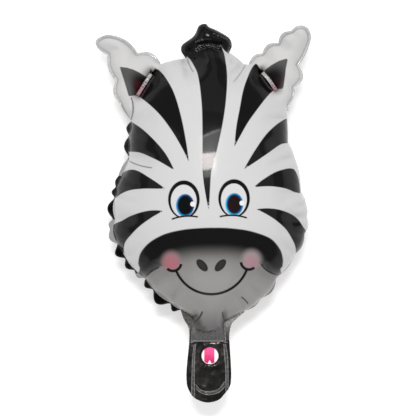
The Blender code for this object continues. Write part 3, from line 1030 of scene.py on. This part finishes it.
# %% [markdown]
# ## The face
# The eyes are ovals over ovals, the smile is an arc of a circle. Each arc is given by three
# pixels on it, and the circle through them gives the rest.


# %% The face's inks, in the photograph's pixels
WHITE_INK = (0.562, 0.574, 0.578)
BLACK_INK = (0.0045, 0.0045, 0.0048)
LINE_INK = (0.012, 0.011, 0.011)
MUZZLE_GREY = (0.278, 0.278, 0.272)
LINING_INK = (0.012, 0.011, 0.011)
EYE_WHITE = (0.60, 0.61, 0.62)
EYE_GLINT = (0.72, 0.74, 0.76)
PRINT_EDGE = 0.0005
LID_ARCS = [
    ((172.6, 218.9), (184, 216.3), (197.0, 216.8)),
    ((220.6, 216.5), (234.0, 215.4), (246.0, 217.6)),
]


def oval(tree, place, x, y, half_width, half_height, turn, soft):
    """The ink of an oval at one of the photograph's pixels, its sizes in pixels too."""
    middle = (*at(x, y), 0)
    size = (half_width * PIXEL, half_height * PIXEL, 1)
    angle = math.radians(turn)
    given = {"Place": place, "Middle": middle, "Half_size": size, "Turn": angle, "Soft": soft}
    return use_group(tree, printed_oval, **given)["Ink"]


def inked_ovals(tree, place, colour, rows):
    """Ovals laid over a colour: x, y, half width, half height, turn, softness and ink of each."""
    for *shape, over in rows:
        colour = tinted(tree, oval(tree, place, *shape), colour, over)
    return colour


def circle_through(spots):
    """The middle and radius, in metres, of the circle through three of the photograph's pixels."""
    (ax, ay), (bx, by), (cx, cy) = (at(*s) for s in spots)
    d = 2 * (ax * (by - cy) + bx * (cy - ay) + cx * (ay - by))
    a, b, c = ax**2 + ay**2, bx**2 + by**2, cx**2 + cy**2
    x = (a * (by - cy) + b * (cy - ay) + c * (ay - by)) / d
    y = (a * (cx - bx) + b * (ax - cx) + c * (bx - ax)) / d
    return np.array((x, y)), math.hypot(ax - x, ay - y)


def arc(tree, place, spots, half_stroke):
    """The ink of an arc through three of the photograph's pixels."""
    middle, radius = circle_through(spots)
    first, centre, last = (at(*s) - middle for s in spots)
    towards = first / radius + last / radius
    towards = towards / np.linalg.norm(towards)
    if towards @ centre < 0:
        towards = -towards
    given = {"Place": place, "Middle": (*middle, 0), "Radius": radius, "Towards": (*towards, 0)}
    spread = float(towards @ first / radius)
    return use_group(tree, printed_arc, Half_stroke=half_stroke * PIXEL, Spread=spread, **given)["Ink"]


def ink(tree, name, edge=PRINT_EDGE):
    """The crisp share of ink from a stored depth."""
    return fade(tree, stored(tree, name), -edge, edge)


# %% Stripes and ears
printed_foil, tree, shader = foil_material("printed foil", 0.27, 0.12, 0.04)
place = add_node(tree, "ShaderNodeAttribute", attribute_name="print").outputs["Vector"]
on_ear = fade(tree, stored(tree, "ear"), -0.002, 0.004)
# Past the ears' welds the white ink is painted greyer: painted shade on the ears.
white = tinted(tree, on_ear, WHITE_INK, (0.535, 0.545, 0.545))
weld_shade = fade(tree, stored(tree, "seam"), 0.0003, 0.0012, 0.55, 0.0)
white = tinted(tree, times(tree, weld_shade, on_ear), white, grey(0.30))
colour = tinted(tree, ink(tree, "stripe"), white, BLACK_INK)
lining = grey(0.085)
lining = inked_ovals(tree, place, lining, (
    (143, 87, 9.5, 15, -32, 0.5, LINING_INK),
    (272, 80.5, 10, 15, 34, 0.5, LINING_INK),
    (139, 87, 3.6, 6.5, -30, 0.6, (0.055, 0.012, 0.014)),
    (275.5, 84.0, 3.6, 6.5, 30, 0.6, (0.032, 0.012, 0.014)),
))
colour = tinted(tree, ink(tree, "lining"), colour, lining)

# %% Muzzle, nose and smile
depth_in_muzzle = stored(tree, "muzzle")
under_edge = fade(tree, depth_in_muzzle, 0.0152, 0.0375, 0.0, 0.76)
under_edge = sums(tree, "ADD", under_edge, fade(tree, depth_in_muzzle, 0.030, 0.056, 0.0, 0.24))
lower_depth = stored(tree, "lower_face")
lower_face = fade(tree, lower_depth, -0.0012, 0.0012, 0.0, 0.60)
lower_face = sums(tree, "ADD", lower_face, fade(tree, lower_depth, -0.0079, -0.0006, 0.0, 0.15))
lower_face = sums(tree, "ADD", lower_face, fade(tree, lower_depth, 0.004, 0.022, 0.0, 0.26))
greyness = sums(tree, "MAXIMUM", under_edge, lower_face)
muzzle = tinted(tree, greyness, BLACK_INK, MUZZLE_GREY)
muzzle = inked_ovals(tree, place, muzzle, (
    (171.3, 260.6, 8.8, 8.8, 0, 0.50, (0.24, 0.17, 0.175)),
    (171.3, 262.8, 7.4, 7.4, 0, 0.60, (0.37, 0.140, 0.170)),
    (251.6, 259.2, 8.9, 8.9, 0, 0.50, (0.29, 0.25, 0.256)),
    (251.2, 262.0, 6.6, 6.6, 0, 0.70, (0.36, 0.215, 0.245)),
    (202.1, 265.3, 7.4, 4.0, 48, 0.12, grey(0.006)),
    (202.1, 265.3, 5.6, 2.6, 48, 0.3, (0.016, 0.016, 0.014)),
    (220.4, 265.3, 7.4, 4.0, -48, 0.12, grey(0.006)),
    (220.4, 265.3, 5.6, 2.6, -48, 0.3, (0.016, 0.016, 0.014)),
))
for spots, stroke in (
    (((176.4, 271.2), (211.3, 294.2), (246.5, 270.3)), 1.25),
    (((167.3, 268.7), (173.8, 270.9), (181.1, 264.1)), 1.35),
    (((241.0, 262.3), (247, 269.3), (254.3, 267.5)), 1.35),
):
    muzzle = tinted(tree, arc(tree, place, spots, stroke), muzzle, BLACK_INK)
colour = tinted(tree, ink(tree, "muzzle", 0.0008), colour, muzzle)

# %% Eyes
open_eyes = colour
for x, y in ((183.9, 199.5), (234.1, 198.3)):
    open_eyes = inked_ovals(tree, place, open_eyes, (
        (x, y, 15.8, 19.1, 0, 0.03, BLACK_INK),
        (x - 0.2, y + 1.4, 12.9, 16.2, 0, 0.03, EYE_WHITE),
    ))
LEFT_IRIS = (0.006, 0.035, 0.20), (0.012, 0.26, 0.55), (0.004, 0.012, 0.045), (0.0035, 0.004, 0.005)
RIGHT_IRIS = (0.02, 0.26, 0.50), (0.04, 0.42, 0.66), (0.008, 0.035, 0.15), (0.013, 0.007, 0.007)
for x, y, (deep, bright, ring, pupil) in ((185.2, 205.3, LEFT_IRIS), (234.4, 204.3, RIGHT_IRIS)):
    open_eyes = inked_ovals(tree, place, open_eyes, (
        (x, y, 8.9, 11.2, 0, 0.05, deep),
        (x - 0.7, y + 0.3, 8.3, 10.9, 0, 0.10, bright),
        (x + 0.2, y - 0.2, 7.9, 10.1, 0, 0.12, ring),
        (x - 0.1, y - 0.2, 6.5, 8.9, 0, 0.12, pupil),
        (x + 7.5, y - 1.2, 2.4, 2.5, 0, 0.15, EYE_GLINT),
    ))
for spots in LID_ARCS:
    middle, radius = circle_through(spots)
    given = {"Place": place, "Middle": (*middle, 0), "Half_size": (radius, radius, 1)}
    under_lid = use_group(tree, printed_oval, Soft=PRINT_EDGE / radius, **given)["Ink"]
    open_eyes = tinted(tree, under_lid, open_eyes, colour)
for spots in LID_ARCS:
    open_eyes = tinted(tree, arc(tree, place, spots, 0.85), open_eyes, LINE_INK)
colour = open_eyes

# %% [markdown]
# The tuft and its fold are black, with painted glints: thin grey lines where the crinkled foil catches the
# light. Just below the fold the stripe is painted a little lighter, a painted reflection. Down the neck the
# grey is darkened towards the foot as painted shade, with painted shade in its creases, a dashed line and a
# pale one above the tail.

# %% Tuft, neck and creases
colour = tinted(tree, ink(tree, "tuft"), colour, BLACK_INK)
wrinkles = noise_at(tree, place, 900.0, 2.0)
height = add_node(tree, "ShaderNodeSeparateXYZ", {0: place}).outputs["Y"]
# Painted reflection: a band just below the tuft's fold, inside the stripe, painted a little lighter than
# the black.
sheen_below_fold = fade(tree, height, at_row(58.6), at_row(57.4))
sheen_upper_cut = fade(tree, height, at_row(53), at_row(50), 1.0, 0.0)
sheen_below_fold = times(tree, sheen_below_fold, sheen_upper_cut)
sheen_below_fold = times(tree, sheen_below_fold, ink(tree, "stripe"))
colour = tinted(tree, sheen_below_fold, colour, (0.009, 0.009, 0.0085))
# Painted glints: thin grey lines in the tuft where the crinkled foil catches the light.
glints = fade(tree, wrinkles, 0.54, 0.62)
for half_stroke, spots in (
    (2.2, ((195.5, 50.5), (206, 45.8), (219.0, 48.6))),
    (0.9, ((195.4, 42.4), (199.5, 40.2), (203.2, 39.2))),
    (0.8, ((215.5, 34.4), (220.5, 36.2), (225.5, 38.6))),
    (0.7, ((229.3, 41.5), (230.3, 45.5), (229.3, 49))),
):
    painted_glint_line = times(tree, arc(tree, place, spots, half_stroke), glints)
    colour = tinted(tree, painted_glint_line, colour, grey(0.20))
# Painted shade: down the neck the grey darkens towards its foot.
neck_shade = fade(tree, height, at_row(332), at_row(304), 1.0, 0.0)
colour = tinted(tree, neck_shade, colour, grey(0.145))
in_strip = fade(tree, height, at_row(333.5), at_row(331.5), 1.0, 0.0)
strip = tinted(tree, fade(tree, wrinkles, 0.3, 0.7), grey(0.055), grey(0.16))
colour = tinted(tree, in_strip, colour, strip)
# Painted shade in the neck's creases: dark ovals broken up by noise.
for x, y, wide, high, turn, shade in (
    (197.0, 322.5, 4.0, 9.0, -14, 0.045), (194.0, 316.5, 3.4, 1.4, -24, 0.02),
    (224.0, 322, 2.6, 10, 6, 0.07), (219.5, 329.5, 3.4, 3.0, 0, 0.10), (201.5, 328.5, 5.5, 3.0, 10, 0.09),
):
    neck_crease_shade = oval(tree, place, x, y, wide, high, turn, 0.7)
    neck_crease_shade = times(tree, neck_crease_shade, fade(tree, wrinkles, 0.25, 0.6, 0.55, 1.0))
    colour = tinted(tree, neck_crease_shade, colour, grey(shade))
dashes = arc(tree, place, ((196.5, 329.8), (206, 331.6), (215.5, 330.6)), 1.3)
dashes = times(tree, dashes, fade(tree, wrinkles, 0.42, 0.56))
colour = tinted(tree, dashes, colour, LINE_INK)
foot_line = fade(tree, height, at_row(342.2), at_row(341.5), 1.0, 0.0)
colour = tinted(tree, foot_line, colour, BLACK_INK)
pale_line = apart(tree, height, at_row(341.0))
colour = tinted(tree, fade(tree, pale_line, 0.0003, 0.0007, 0.8, 0.0), colour, grey(0.36))

# %% [markdown]
# Some creases of the photograph are finer than the mesh. They are arcs of painted shade that darken the
# print and press a groove into its bump.

# %% Fine creases that the mesh is too coarse for
grooves = 0.0
for half_stroke, dark, spots in (
    (0.65, 0.6, ((130.4, 161.7), (140.2, 165.6), (150.5, 167.6))),
    (1.0, 1.0, ((144.8, 277.6), (151.0, 271.6), (158.5, 267.4))),
    (1.0, 1.0, ((278.3, 274.6), (270.5, 272.4), (261.4, 264.4))),
    (0.9, 0.9, ((195.4, 321.6), (199.6, 317.2), (202.2, 311.8))),
    (0.8, 0.7, ((222.6, 312.0), (223.0, 316.8), (225.2, 321.4))),
    (0.75, 0.8, ((241.6, 297.2), (244.6, 299.6), (247.8, 303.4))),
    (0.7, 0.45, ((187.6, 58.8), (189.3, 64.5), (192.6, 71.0))),
    (0.7, 0.35, ((245.6, 64.6), (241.6, 71.5), (236.0, 79.2))),
    (0.7, 0.7, ((131.4, 98.0), (133.0, 105.5), (131.2, 119.5))),
):
    groove = arc(tree, place, spots, half_stroke)
    # Painted shade along each fine crease.
    colour = tinted(tree, times(tree, groove, dark), colour, grey(0.02))
    grooves = sums(tree, "MAXIMUM", grooves, groove)

# %% [markdown]
# The foil is crumpled near the seam, in the tuft and down the neck. Dark ink gleams more than
# white, and less where the foil turns away.

# %% The printed foil's surface
near_seam = fade(tree, stored(tree, "seam"), 0.0, 0.014, 0.10, 0.0)
in_tuft = fade(tree, stored(tree, "tuft"), -0.002, 0.003, 0.0, 0.7)
in_neck = fade(tree, height, at_row(322), at_row(306), 0.6, 0.0)
crumple = sums(tree, "MAXIMUM", near_seam, sums(tree, "MAXIMUM", in_tuft, in_neck))
finish_foil(tree, shader, colour, crumple, 0.005, 0.5, 0.27, grooves, on_ear)
facing = add_node(tree, "ShaderNodeLayerWeight", {"Blend": 0.5}).outputs["Facing"]
dark_ink = sums(tree, "MAXIMUM", ink(tree, "tuft"), ink(tree, "muzzle"))
dark_ink = sums(tree, "MAXIMUM", ink(tree, "stripe"), dark_ink)
less_aside = fade(tree, facing, 0.1, 0.7, 1.0, 0.24)
coat = times(tree, fade(tree, dark_ink, 0.0, 1.0, 0.07, 0.25), less_aside)
coat = times(tree, sums(tree, "SUBTRACT", 1.0, on_ear), coat)
tree.links.new(coat, shader.inputs["Coat Weight"])
print("printed foil", len(tree.nodes), "nodes")

# %% [markdown]
# The back is plain black foil. Where the seam turns a little towards the camera, on the left, it
# shows as dark lobes past the print's edge, and pale where the front's white foil folds over.

# %% Black foil
black_foil, tree, shader = foil_material("black foil", 0.22, 0.12)
shader.inputs["Specular IOR Level"].default_value = 0.05
near_rim = fade(tree, stored(tree, "pale_depth"), -0.0008, 0.0008)
pale = times(tree, stored(tree, "pale"), near_rim)
colour = tinted(tree, pale, grey(0.002), grey(0.30))
finish_foil(tree, shader, colour, 0.12, 0.012, 0.5, 0.2)
tree.links.new(fade(tree, stored(tree, "seam"), 0.008, 0.022, 0.0, 0.4), shader.inputs["Coat Weight"])

crumpled_foil, tree, shader = foil_material("crumpled black foil", 0.24, 0.25)
place = object_place(tree)
rubbed = noise_at(tree, place, 110.0, 4.0)
colour = tinted(tree, fade(tree, rubbed, 0.4, 0.75), grey(0.003), (0.022, 0.022, 0.019))
finish_foil(tree, shader, colour, 0.4, 0.006, 0.35, 0.3)


def grey_foil(name, dark, pale):
    """Foil whose ink is rubbed to two greys."""
    material, tree, shader = foil_material(name, 0.4, 0.1)
    place = object_place(tree)
    rubbed = fade(tree, noise_at(tree, place, 350.0, 2.0), 0.35, 0.65)
    colour = tinted(tree, rubbed, dark, pale)
    finish_foil(tree, shader, colour, 0.3, 0.002, 0.5, 0.4)
    return material


weld_grey = grey_foil("heat weld", grey(0.13), grey(0.24))
band_grey = grey_foil("weld band", grey(0.035), grey(0.075))
margin_grey = grey_foil("ear margin", (0.44, 0.45, 0.45), (0.52, 0.53, 0.53))
finishes = (printed_foil, black_foil, crumpled_foil, weld_grey, band_grey, margin_grey)
print("finishes", [m.name for m in finishes])

# %% [markdown]
# ## The ears' flat margins
# Round the ears the weld runs a little inside the cut edge, so a flat grey margin of doubled foil
# shows outside it. It is a ribbon between the two lines, slightly wavy, with a little thickness.


# %% Margins
MARGIN_THICKNESS = 0.0005
MARGIN_WAVE = 0.0005
MARGIN_ROWS = 4


def margin_ribbon(name, inner, outer, finish, lift=0.0):
    """A thin closed ribbon from the weld to the cut edge, waving more towards the cut edge."""
    rows = MARGIN_ROWS
    top, bottom = [], []
    waves = rng.uniform(0, 6.28, 3)
    for i, (a, b) in enumerate(zip(inner, outer)):
        wave = sum(math.sin(0.55 * k * i + waves[k - 1]) / k for k in (1, 2, 3))
        for row in range(rows + 1):
            t = row / rows
            spot = a + (b - a) * t
            z = SEAM_LEVEL + seam_lean(spot[1]) + MARGIN_WAVE * wave * t**1.5 + lift
            half = MARGIN_THICKNESS / 2 * (1 - 0.6 * t)
            top.append((*spot, z + half))
            bottom.append((*spot, z - half))
    count = len(inner)
    wide = rows + 1
    faces = []
    for i in range(count - 1):
        for row in range(rows):
            a = i * wide + row
            faces.append((a, a + 1, a + 1 + wide, a + wide))
            low_a = a + count * wide
            faces.append((low_a, low_a + wide, low_a + 1 + wide, low_a + 1))
        for row, turn in ((0, False), (rows, True)):
            a = i * wide + row
            side = (a, a + wide, a + wide + count * wide, a + count * wide)
            faces.append(side[::-1] if turn else side)
    for i, turn in ((0, True), (count - 1, False)):
        for row in range(rows):
            a = i * wide + row
            end = (a, a + 1, a + 1 + count * wide, a + count * wide)
            faces.append(end[::-1] if turn else end)
    made = add_mesh(name, top + bottom, [], faces)
    shell = bmesh.new()
    shell.from_mesh(made.data)
    bmesh.ops.recalc_face_normals(shell, faces=shell.faces)
    shell.to_mesh(made.data)
    shell.free()
    made.data.shade_smooth()
    made.data.materials.append(finish)
    return made


def stretch_of(line, first, last):
    """The part of a line between the points nearest to two of the photograph's pixels."""
    return line[edge_number(first) : edge_number(last) + 1]


MARGIN_OVERLAP = 0.0008
ear_margins = []
for name, first, last in (
    ("right_ear_margin", RIGHT_EAR_FOOT, (248.9, 63.3)),
    ("left_ear_margin", (160, 62.4), LEFT_EAR_FOOT),
):
    inner, outer = stretch_of(weld_line, first, last), stretch_of(cut_line, first, last)
    inward = (inner - outer) / np.linalg.norm(inner - outer, axis=1)[:, None]
    ear_margins.append(margin_ribbon(name, inner + inward * MARGIN_OVERLAP, outer, margin_grey))
print("margins", [m.name for m in ear_margins])

# %% [markdown]
# Each ear is shut off from the head by a weld across its foot. It shows as a pale strip, pinkish
# low down, with specks where the ink was rubbed off by the hot bar. It is a narrow ribbon that
# lies in the valley between the ear's swell and the head's.

# %% Ear welds
EAR_WELD_LIFT = 0.0030
EAR_WELD_HALF = 0.0018
ear_strip, tree, shader = foil_material("ear weld", 0.4, 0.1)
place = object_place(tree)
spread = add_node(tree, "ShaderNodeSeparateXYZ", {0: place}).outputs
low_down = fade(tree, spread["Y"], at_row(90), at_row(80), 1.0, 0.0)
strip = tinted(tree, low_down, grey(0.44), (0.42, 0.24, 0.28))
specks = noise_at(tree, place, 620.0, 2.0)
from_middle = apart(tree, spread["Y"], at_row(83))
speckled = fade(tree, from_middle, 0.003, 0.008, 1.0, 0.25)
specks = times(tree, fade(tree, specks, 0.52, 0.62), speckled)
strip = tinted(tree, specks, strip, (0.02, 0.015, 0.015))
finish_foil(tree, shader, strip, 0.3, 0.002, 0.5, 0.4)

ear_strips = []
for name, whole_line in zip(("left_ear_weld", "right_ear_weld"), ear_welds):
    line = whole_line[1:]
    across = left_of(np.gradient(line, axis=0)) * EAR_WELD_HALF
    ear_strips.append(margin_ribbon(name, line + across, line - across, ear_strip, EAR_WELD_LIFT))
print("ear welds", [p.name for p in ear_strips])

# %% [markdown]
# At the neck the welds turn inward to a narrow duct, and outside them the two sheets lie flat on
# each other as grey, crumpled flaps.

# %% Neck flaps
neck_foil, tree, shader = foil_material("neck foil", 0.4, 0.2)
place = object_place(tree)
spread = add_node(tree, "ShaderNodeSeparateXYZ", {0: place}).outputs
to_right = fade(tree, spread["X"], 0.0, 0.018)
wrinkled = fade(tree, noise_at(tree, place, 500.0, 3.0), 0.35, 0.65)
darker = tinted(tree, wrinkled, (0.055, 0.055, 0.05), (0.115, 0.115, 0.105))
paler = tinted(tree, wrinkled, grey(0.17), grey(0.36))
low_down = fade(tree, spread["Y"], at_row(334), at_row(322), 1.0, 0.0)
colour = tinted(tree, to_right, darker, paler)
colour = tinted(tree, low_down, colour, grey(0.05))
finish_foil(tree, shader, colour, 0.6, 0.004, 0.6, 0.4)

neck_flaps = []
for name, first, last in (
    ("left_neck_flap", LEFT_SHOULDER, LEFT_FOOT),
    ("right_neck_flap", RIGHT_FOOT, RIGHT_SHOULDER),
):
    inner, outer = stretch_of(weld_line, first, last), stretch_of(cut_line, first, last)
    neck_flaps.append(margin_ribbon(name, inner, outer, neck_foil))
print("flaps", [f.name for f in neck_flaps])

# %% [markdown]
# ## The tail
# Below the neck the two sheets are left flat, as the filling tail. It was pressed flat and
# handled, so it is crumpled. A round hole shows the pink filling valve between the sheets.

# %% Tail
TAIL = [
    (189.4, 340.6), (187.7, 356.5), (186.5, 370), (186.4, 379), (187.5, 387.1), (192.1, 395.5),
    (198.3, 400.2), (207.8, 402.6), (218.1, 400.2), (223.8, 394.8), (229.8, 386.4), (231.2, 377.9),
    (230.9, 364.2), (229.4, 340.6),
]
HOLE_CENTRE = (210.0, 355.8)
HOLE_RADIUS = 8.5
HOLE_SIDES = 44
TAIL_HALF = 0.0009
TAIL_STEP = 0.0012
TAIL_ROW_STEP = 0.0011
TAIL_ROOM = 0.0007  # how far the grid keeps from the edges

tail_loop = smooth_line(TAIL[::-1], 0.0022)[::-1]
tail_loop = np.vstack([tail_loop, np.linspace(tail_loop[-1], tail_loop[0], 20)[1:-1]])
turns = np.arange(HOLE_SIDES) / HOLE_SIDES * 2 * math.pi
hole_loop = at(*HOLE_CENTRE) + HOLE_RADIUS * PIXEL * np.c_[np.cos(turns), np.sin(turns)]
grid = staggered_grid(tail_loop, TAIL_STEP, TAIL_ROW_STEP)
grid = grid[~inside(grid, hole_loop)]
grid = grid[nearest_on_loop(grid, tail_loop)[0] > TAIL_ROOM]
grid = grid[nearest_on_loop(grid, hole_loop)[0] > TAIL_ROOM]
borders = round_borders(0, len(tail_loop)) + round_borders(len(tail_loop), len(hole_loop))
tail_points, tail_faces = cut_into_triangles(np.vstack([tail_loop, hole_loop, grid]), borders)
middles = tail_points[tail_faces].mean(1)
tail_faces = tail_faces[inside(middles, tail_loop) & ~inside(middles, hole_loop)]


def crumple_height(spots, seed):
    """Creased foil: ridged noise, mostly running up and down the tail."""
    heights = []
    for x, y in spots:
        broad = noise.noise(Vector((x * 90, y * 40, seed)))
        sharp = 1 - abs(noise.noise(Vector((x * 160 + 3, y * 70, seed + 5)))) * 2
        heights.append(0.0005 * broad + 0.0004 * sharp**3)
    return np.array(heights)


edge_depth = nearest_on_loop(tail_points, tail_loop)[0]
hole_depth = nearest_on_loop(tail_points, hole_loop)[0]
settle = smooth_step(0, 0.004, edge_depth) * smooth_step(0, 0.003, hole_depth)
top = TAIL_HALF + settle * crumple_height(tail_points, 1.5)
bottom = TAIL_HALF + settle * crumple_height(tail_points, 8.5)
on_edge = (edge_depth < 1e-7) | (hole_depth < 1e-7)
top[on_edge] *= 0.6
bottom[on_edge] *= 0.6
both = np.vstack([np.c_[tail_points, SEAM_LEVEL + top], np.c_[tail_points, SEAM_LEVEL - bottom]])
faces = tail_faces.tolist() + (tail_faces[:, ::-1] + len(tail_points)).tolist()
open_sides = {}  # sides of one triangle only, which need a wall between the two faces
for a, b, c in tail_faces.tolist():
    for side in ((a, b), (b, c), (c, a)):
        if side[::-1] in open_sides:
            del open_sides[side[::-1]]
        else:
            open_sides[side] = True
faces += [(b, a, a + len(tail_points), b + len(tail_points)) for a, b in open_sides]
tail_foil = add_mesh("tail_foil", both.tolist(), [], faces)
tail_foil.data.materials.append(crumpled_foil)
tail_foil.data.shade_smooth()
print("tail_foil", len(tail_foil.data.polygons), "faces")

# %% [markdown]
# ## Heat welds
# A hot wheel or bar welded the sheets along lines that show as pale double ridges. A ridge
# follows a path, so Geometry Nodes make it: the path is sampled evenly, and a flat oval is swept
# along it.


# %% The weld's node tree
def weld_tree():
    """Geometry Nodes that sweep a flat oval along a path."""
    tree = bpy.data.node_groups.new("heat weld ridge", "GeometryNodeTree")
    tree.interface.new_socket("Path", in_out="INPUT", socket_type="NodeSocketGeometry")
    for label in ("Width", "Height", "Spacing"):
        tree.interface.new_socket(label, in_out="INPUT", socket_type="NodeSocketFloat")
    tree.interface.new_socket("Finish", in_out="INPUT", socket_type="NodeSocketMaterial")
    tree.interface.new_socket("Ridge", in_out="OUTPUT", socket_type="NodeSocketGeometry")
    take = tree.nodes.new("NodeGroupInput").outputs
    give = tree.nodes.new("NodeGroupOutput").inputs
    path = add_node(tree, "GeometryNodeMeshToCurve", {"Mesh": take["Path"]})
    even = add_node(tree, "GeometryNodeResampleCurve", {"Curve": path.outputs[0]}, mode="LENGTH")
    tree.links.new(take["Spacing"], even.inputs["Length"])
    flat = add_node(tree, "GeometryNodeSetCurveNormal", {"Curve": even.outputs[0]}, mode="Z_UP")
    oval_path = add_node(tree, "GeometryNodeCurvePrimitiveCircle", {"Resolution": 8, "Radius": 0.5})
    size = add_node(tree, "ShaderNodeCombineXYZ", {"X": take["Width"], "Y": take["Height"], "Z": 1.0})
    inputs = {"Geometry": oval_path.outputs[0], "Scale": size.outputs[0]}
    shaped = add_node(tree, "GeometryNodeTransform", inputs)
    inputs = {"Curve": flat.outputs[0], "Profile Curve": shaped.outputs[0], "Fill Caps": True}
    swept = add_node(tree, "GeometryNodeCurveToMesh", inputs)
    real = add_node(tree, "GeometryNodeRealizeInstances", {"Geometry": swept.outputs[0]})
    inputs = {"Geometry": real.outputs[0], "Material": take["Finish"]}
    painted = add_node(tree, "GeometryNodeSetMaterial", inputs)
    tree.links.new(painted.outputs[0], give["Ridge"])
    return tree


ridge_tree = weld_tree()


def weld_ridges(name, paths, width, height, level, finish):
    """One mesh of ridges along paths of the photograph's pixels, level metres above the seam."""
    points, edges = [], []
    for spots in paths:
        line = smooth_line(spots, 0.002)
        edges += [(len(points) + i, len(points) + i + 1) for i in range(len(line) - 1)]
        points += [(*p, SEAM_LEVEL + level) for p in line]
    base = add_mesh(name + "_path", points, edges, [])
    modifier = base.modifiers.new("ridge", "NODES")
    modifier.node_group = ridge_tree
    values = {"Width": width, "Height": height, "Spacing": 0.0012, "Finish": finish}
    for item in ridge_tree.interface.items_tree:
        if item.in_out == "INPUT" and item.name in values:
            modifier[item.identifier] = values[item.name]
    made = frozen(base, name)
    made.data.shade_smooth()
    print(name, len(made.data.polygons), "faces")
    return made


# The lines run in pairs, with a pressed grey band between the two lines of a pair
LEFT_PAIR = (
    [(194.2, 344.0), (192.6, 358), (192.1, 372), (191.6, 394.6)],
    [(195.4, 344.0), (194.6, 358), (194.2, 372), (194.6, 397)],
)
RIGHT_PAIR = (
    [(223.8, 344.0), (224.6, 356), (225.8, 370), (225.9, 391.4)],
    [(225.6, 344.0), (227.4, 356), (228.0, 370), (228.1, 388.4)],
)
END_PAIR = (
    [(195.6, 384.4), (200.5, 389.8), (209.2, 391.6), (218.5, 389.2), (224.6, 381.6)],
    [(196.4, 388.8), (201.5, 393.0), (209.2, 394.6), (218.8, 392.2), (225.4, 386.0)],
)


def between(pair):
    """The line midway between the two lines of a pair."""
    return [((a[0] + b[0]) / 2, (a[1] + b[1]) / 2) for a, b in zip(*pair)]


PAIRS = (LEFT_PAIR, RIGHT_PAIR, END_PAIR)
NECK_LINES = [
    [(191.4, 343), (191.9, 333.5), (193.4, 319.5)],
    [(194.8, 341), (195.2, 333.8)],
    [(225.6, 343), (225.2, 332), (224.2, 321)],
]
bands = [between(pair) for pair in PAIRS]
weld_bands = weld_ridges("weld_bands", bands, 0.0028, 0.0005, 0.0013, band_grey)
tail_lines = [line for pair in PAIRS for line in pair]
cross_line = [[(195.4, 341.3), (209, 341.0), (223.6, 341.3)]]
all_lines = tail_lines + NECK_LINES + cross_line
tail_welds = weld_ridges("tail_welds", all_lines, 0.0010, 0.0007, 0.0016, weld_grey)

# %% [markdown]
# ## The filling valve
# The valve film is a CAD node whose shape is right, so it keeps its mesh and gets a finish: a
# pink strip with white at both sides and a small white notch, as the photograph shows.

# %% Valve film
valve_paint, tree, shader = foil_material("valve film", 0.35, 0.3)
place = object_place(tree)
strip_left, strip_right = at_column(204.2), at_column(214.4)
strip_half = (strip_right - strip_left) / 2
spread = add_node(tree, "ShaderNodeSeparateXYZ", {0: place}).outputs
from_middle = apart(tree, spread["X"], (strip_left + strip_right) / 2)
pink = fade(tree, from_middle, strip_half - 0.0003, strip_half + 0.0003, 1.0, 0.0)
deeper = fade(tree, spread["Y"], at_row(364), at_row(348))
mottle = noise_at(tree, place, 420.0, 3.0)
pinks = tinted(tree, deeper, (0.62, 0.012, 0.13), (0.93, 0.11, 0.34))
pinks = tinted(tree, fade(tree, mottle, 0.5, 0.7, 0.0, 0.5), pinks, (0.50, 0.010, 0.12))
notch_side = apart(tree, spread["X"], at_column(209.6))
notch_down = sums(tree, "SUBTRACT", at_row(360.0), spread["Y"])
notch_depth = sums(tree, "SUBTRACT", times(tree, notch_down, 0.55), notch_side)
notch = fade(tree, notch_depth, -0.0002, 0.0002)
colour = tinted(tree, pink, grey(0.88), tinted(tree, notch, pinks, (0.9, 0.88, 0.88)))
finish_foil(tree, shader, colour, 0.15, 0.004, 0.3, 0.35)
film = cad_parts["valve_film"]
film.data.materials.clear()
film.data.materials.append(valve_paint)
print("valve film painted")

# %% [markdown]
# ## Joining the pieces to the model
# Every piece rides on the one body, and the new pieces stand for the plain envelope solid.

# %% Rides and slots
foil_body.data.materials.append(printed_foil)
foil_body.data.materials.append(black_foil)
for piece in (foil_body, *ear_margins, *ear_strips, *neck_flaps, tail_foil, weld_bands, tail_welds):
    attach(piece, "root")
    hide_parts("foil_envelope")
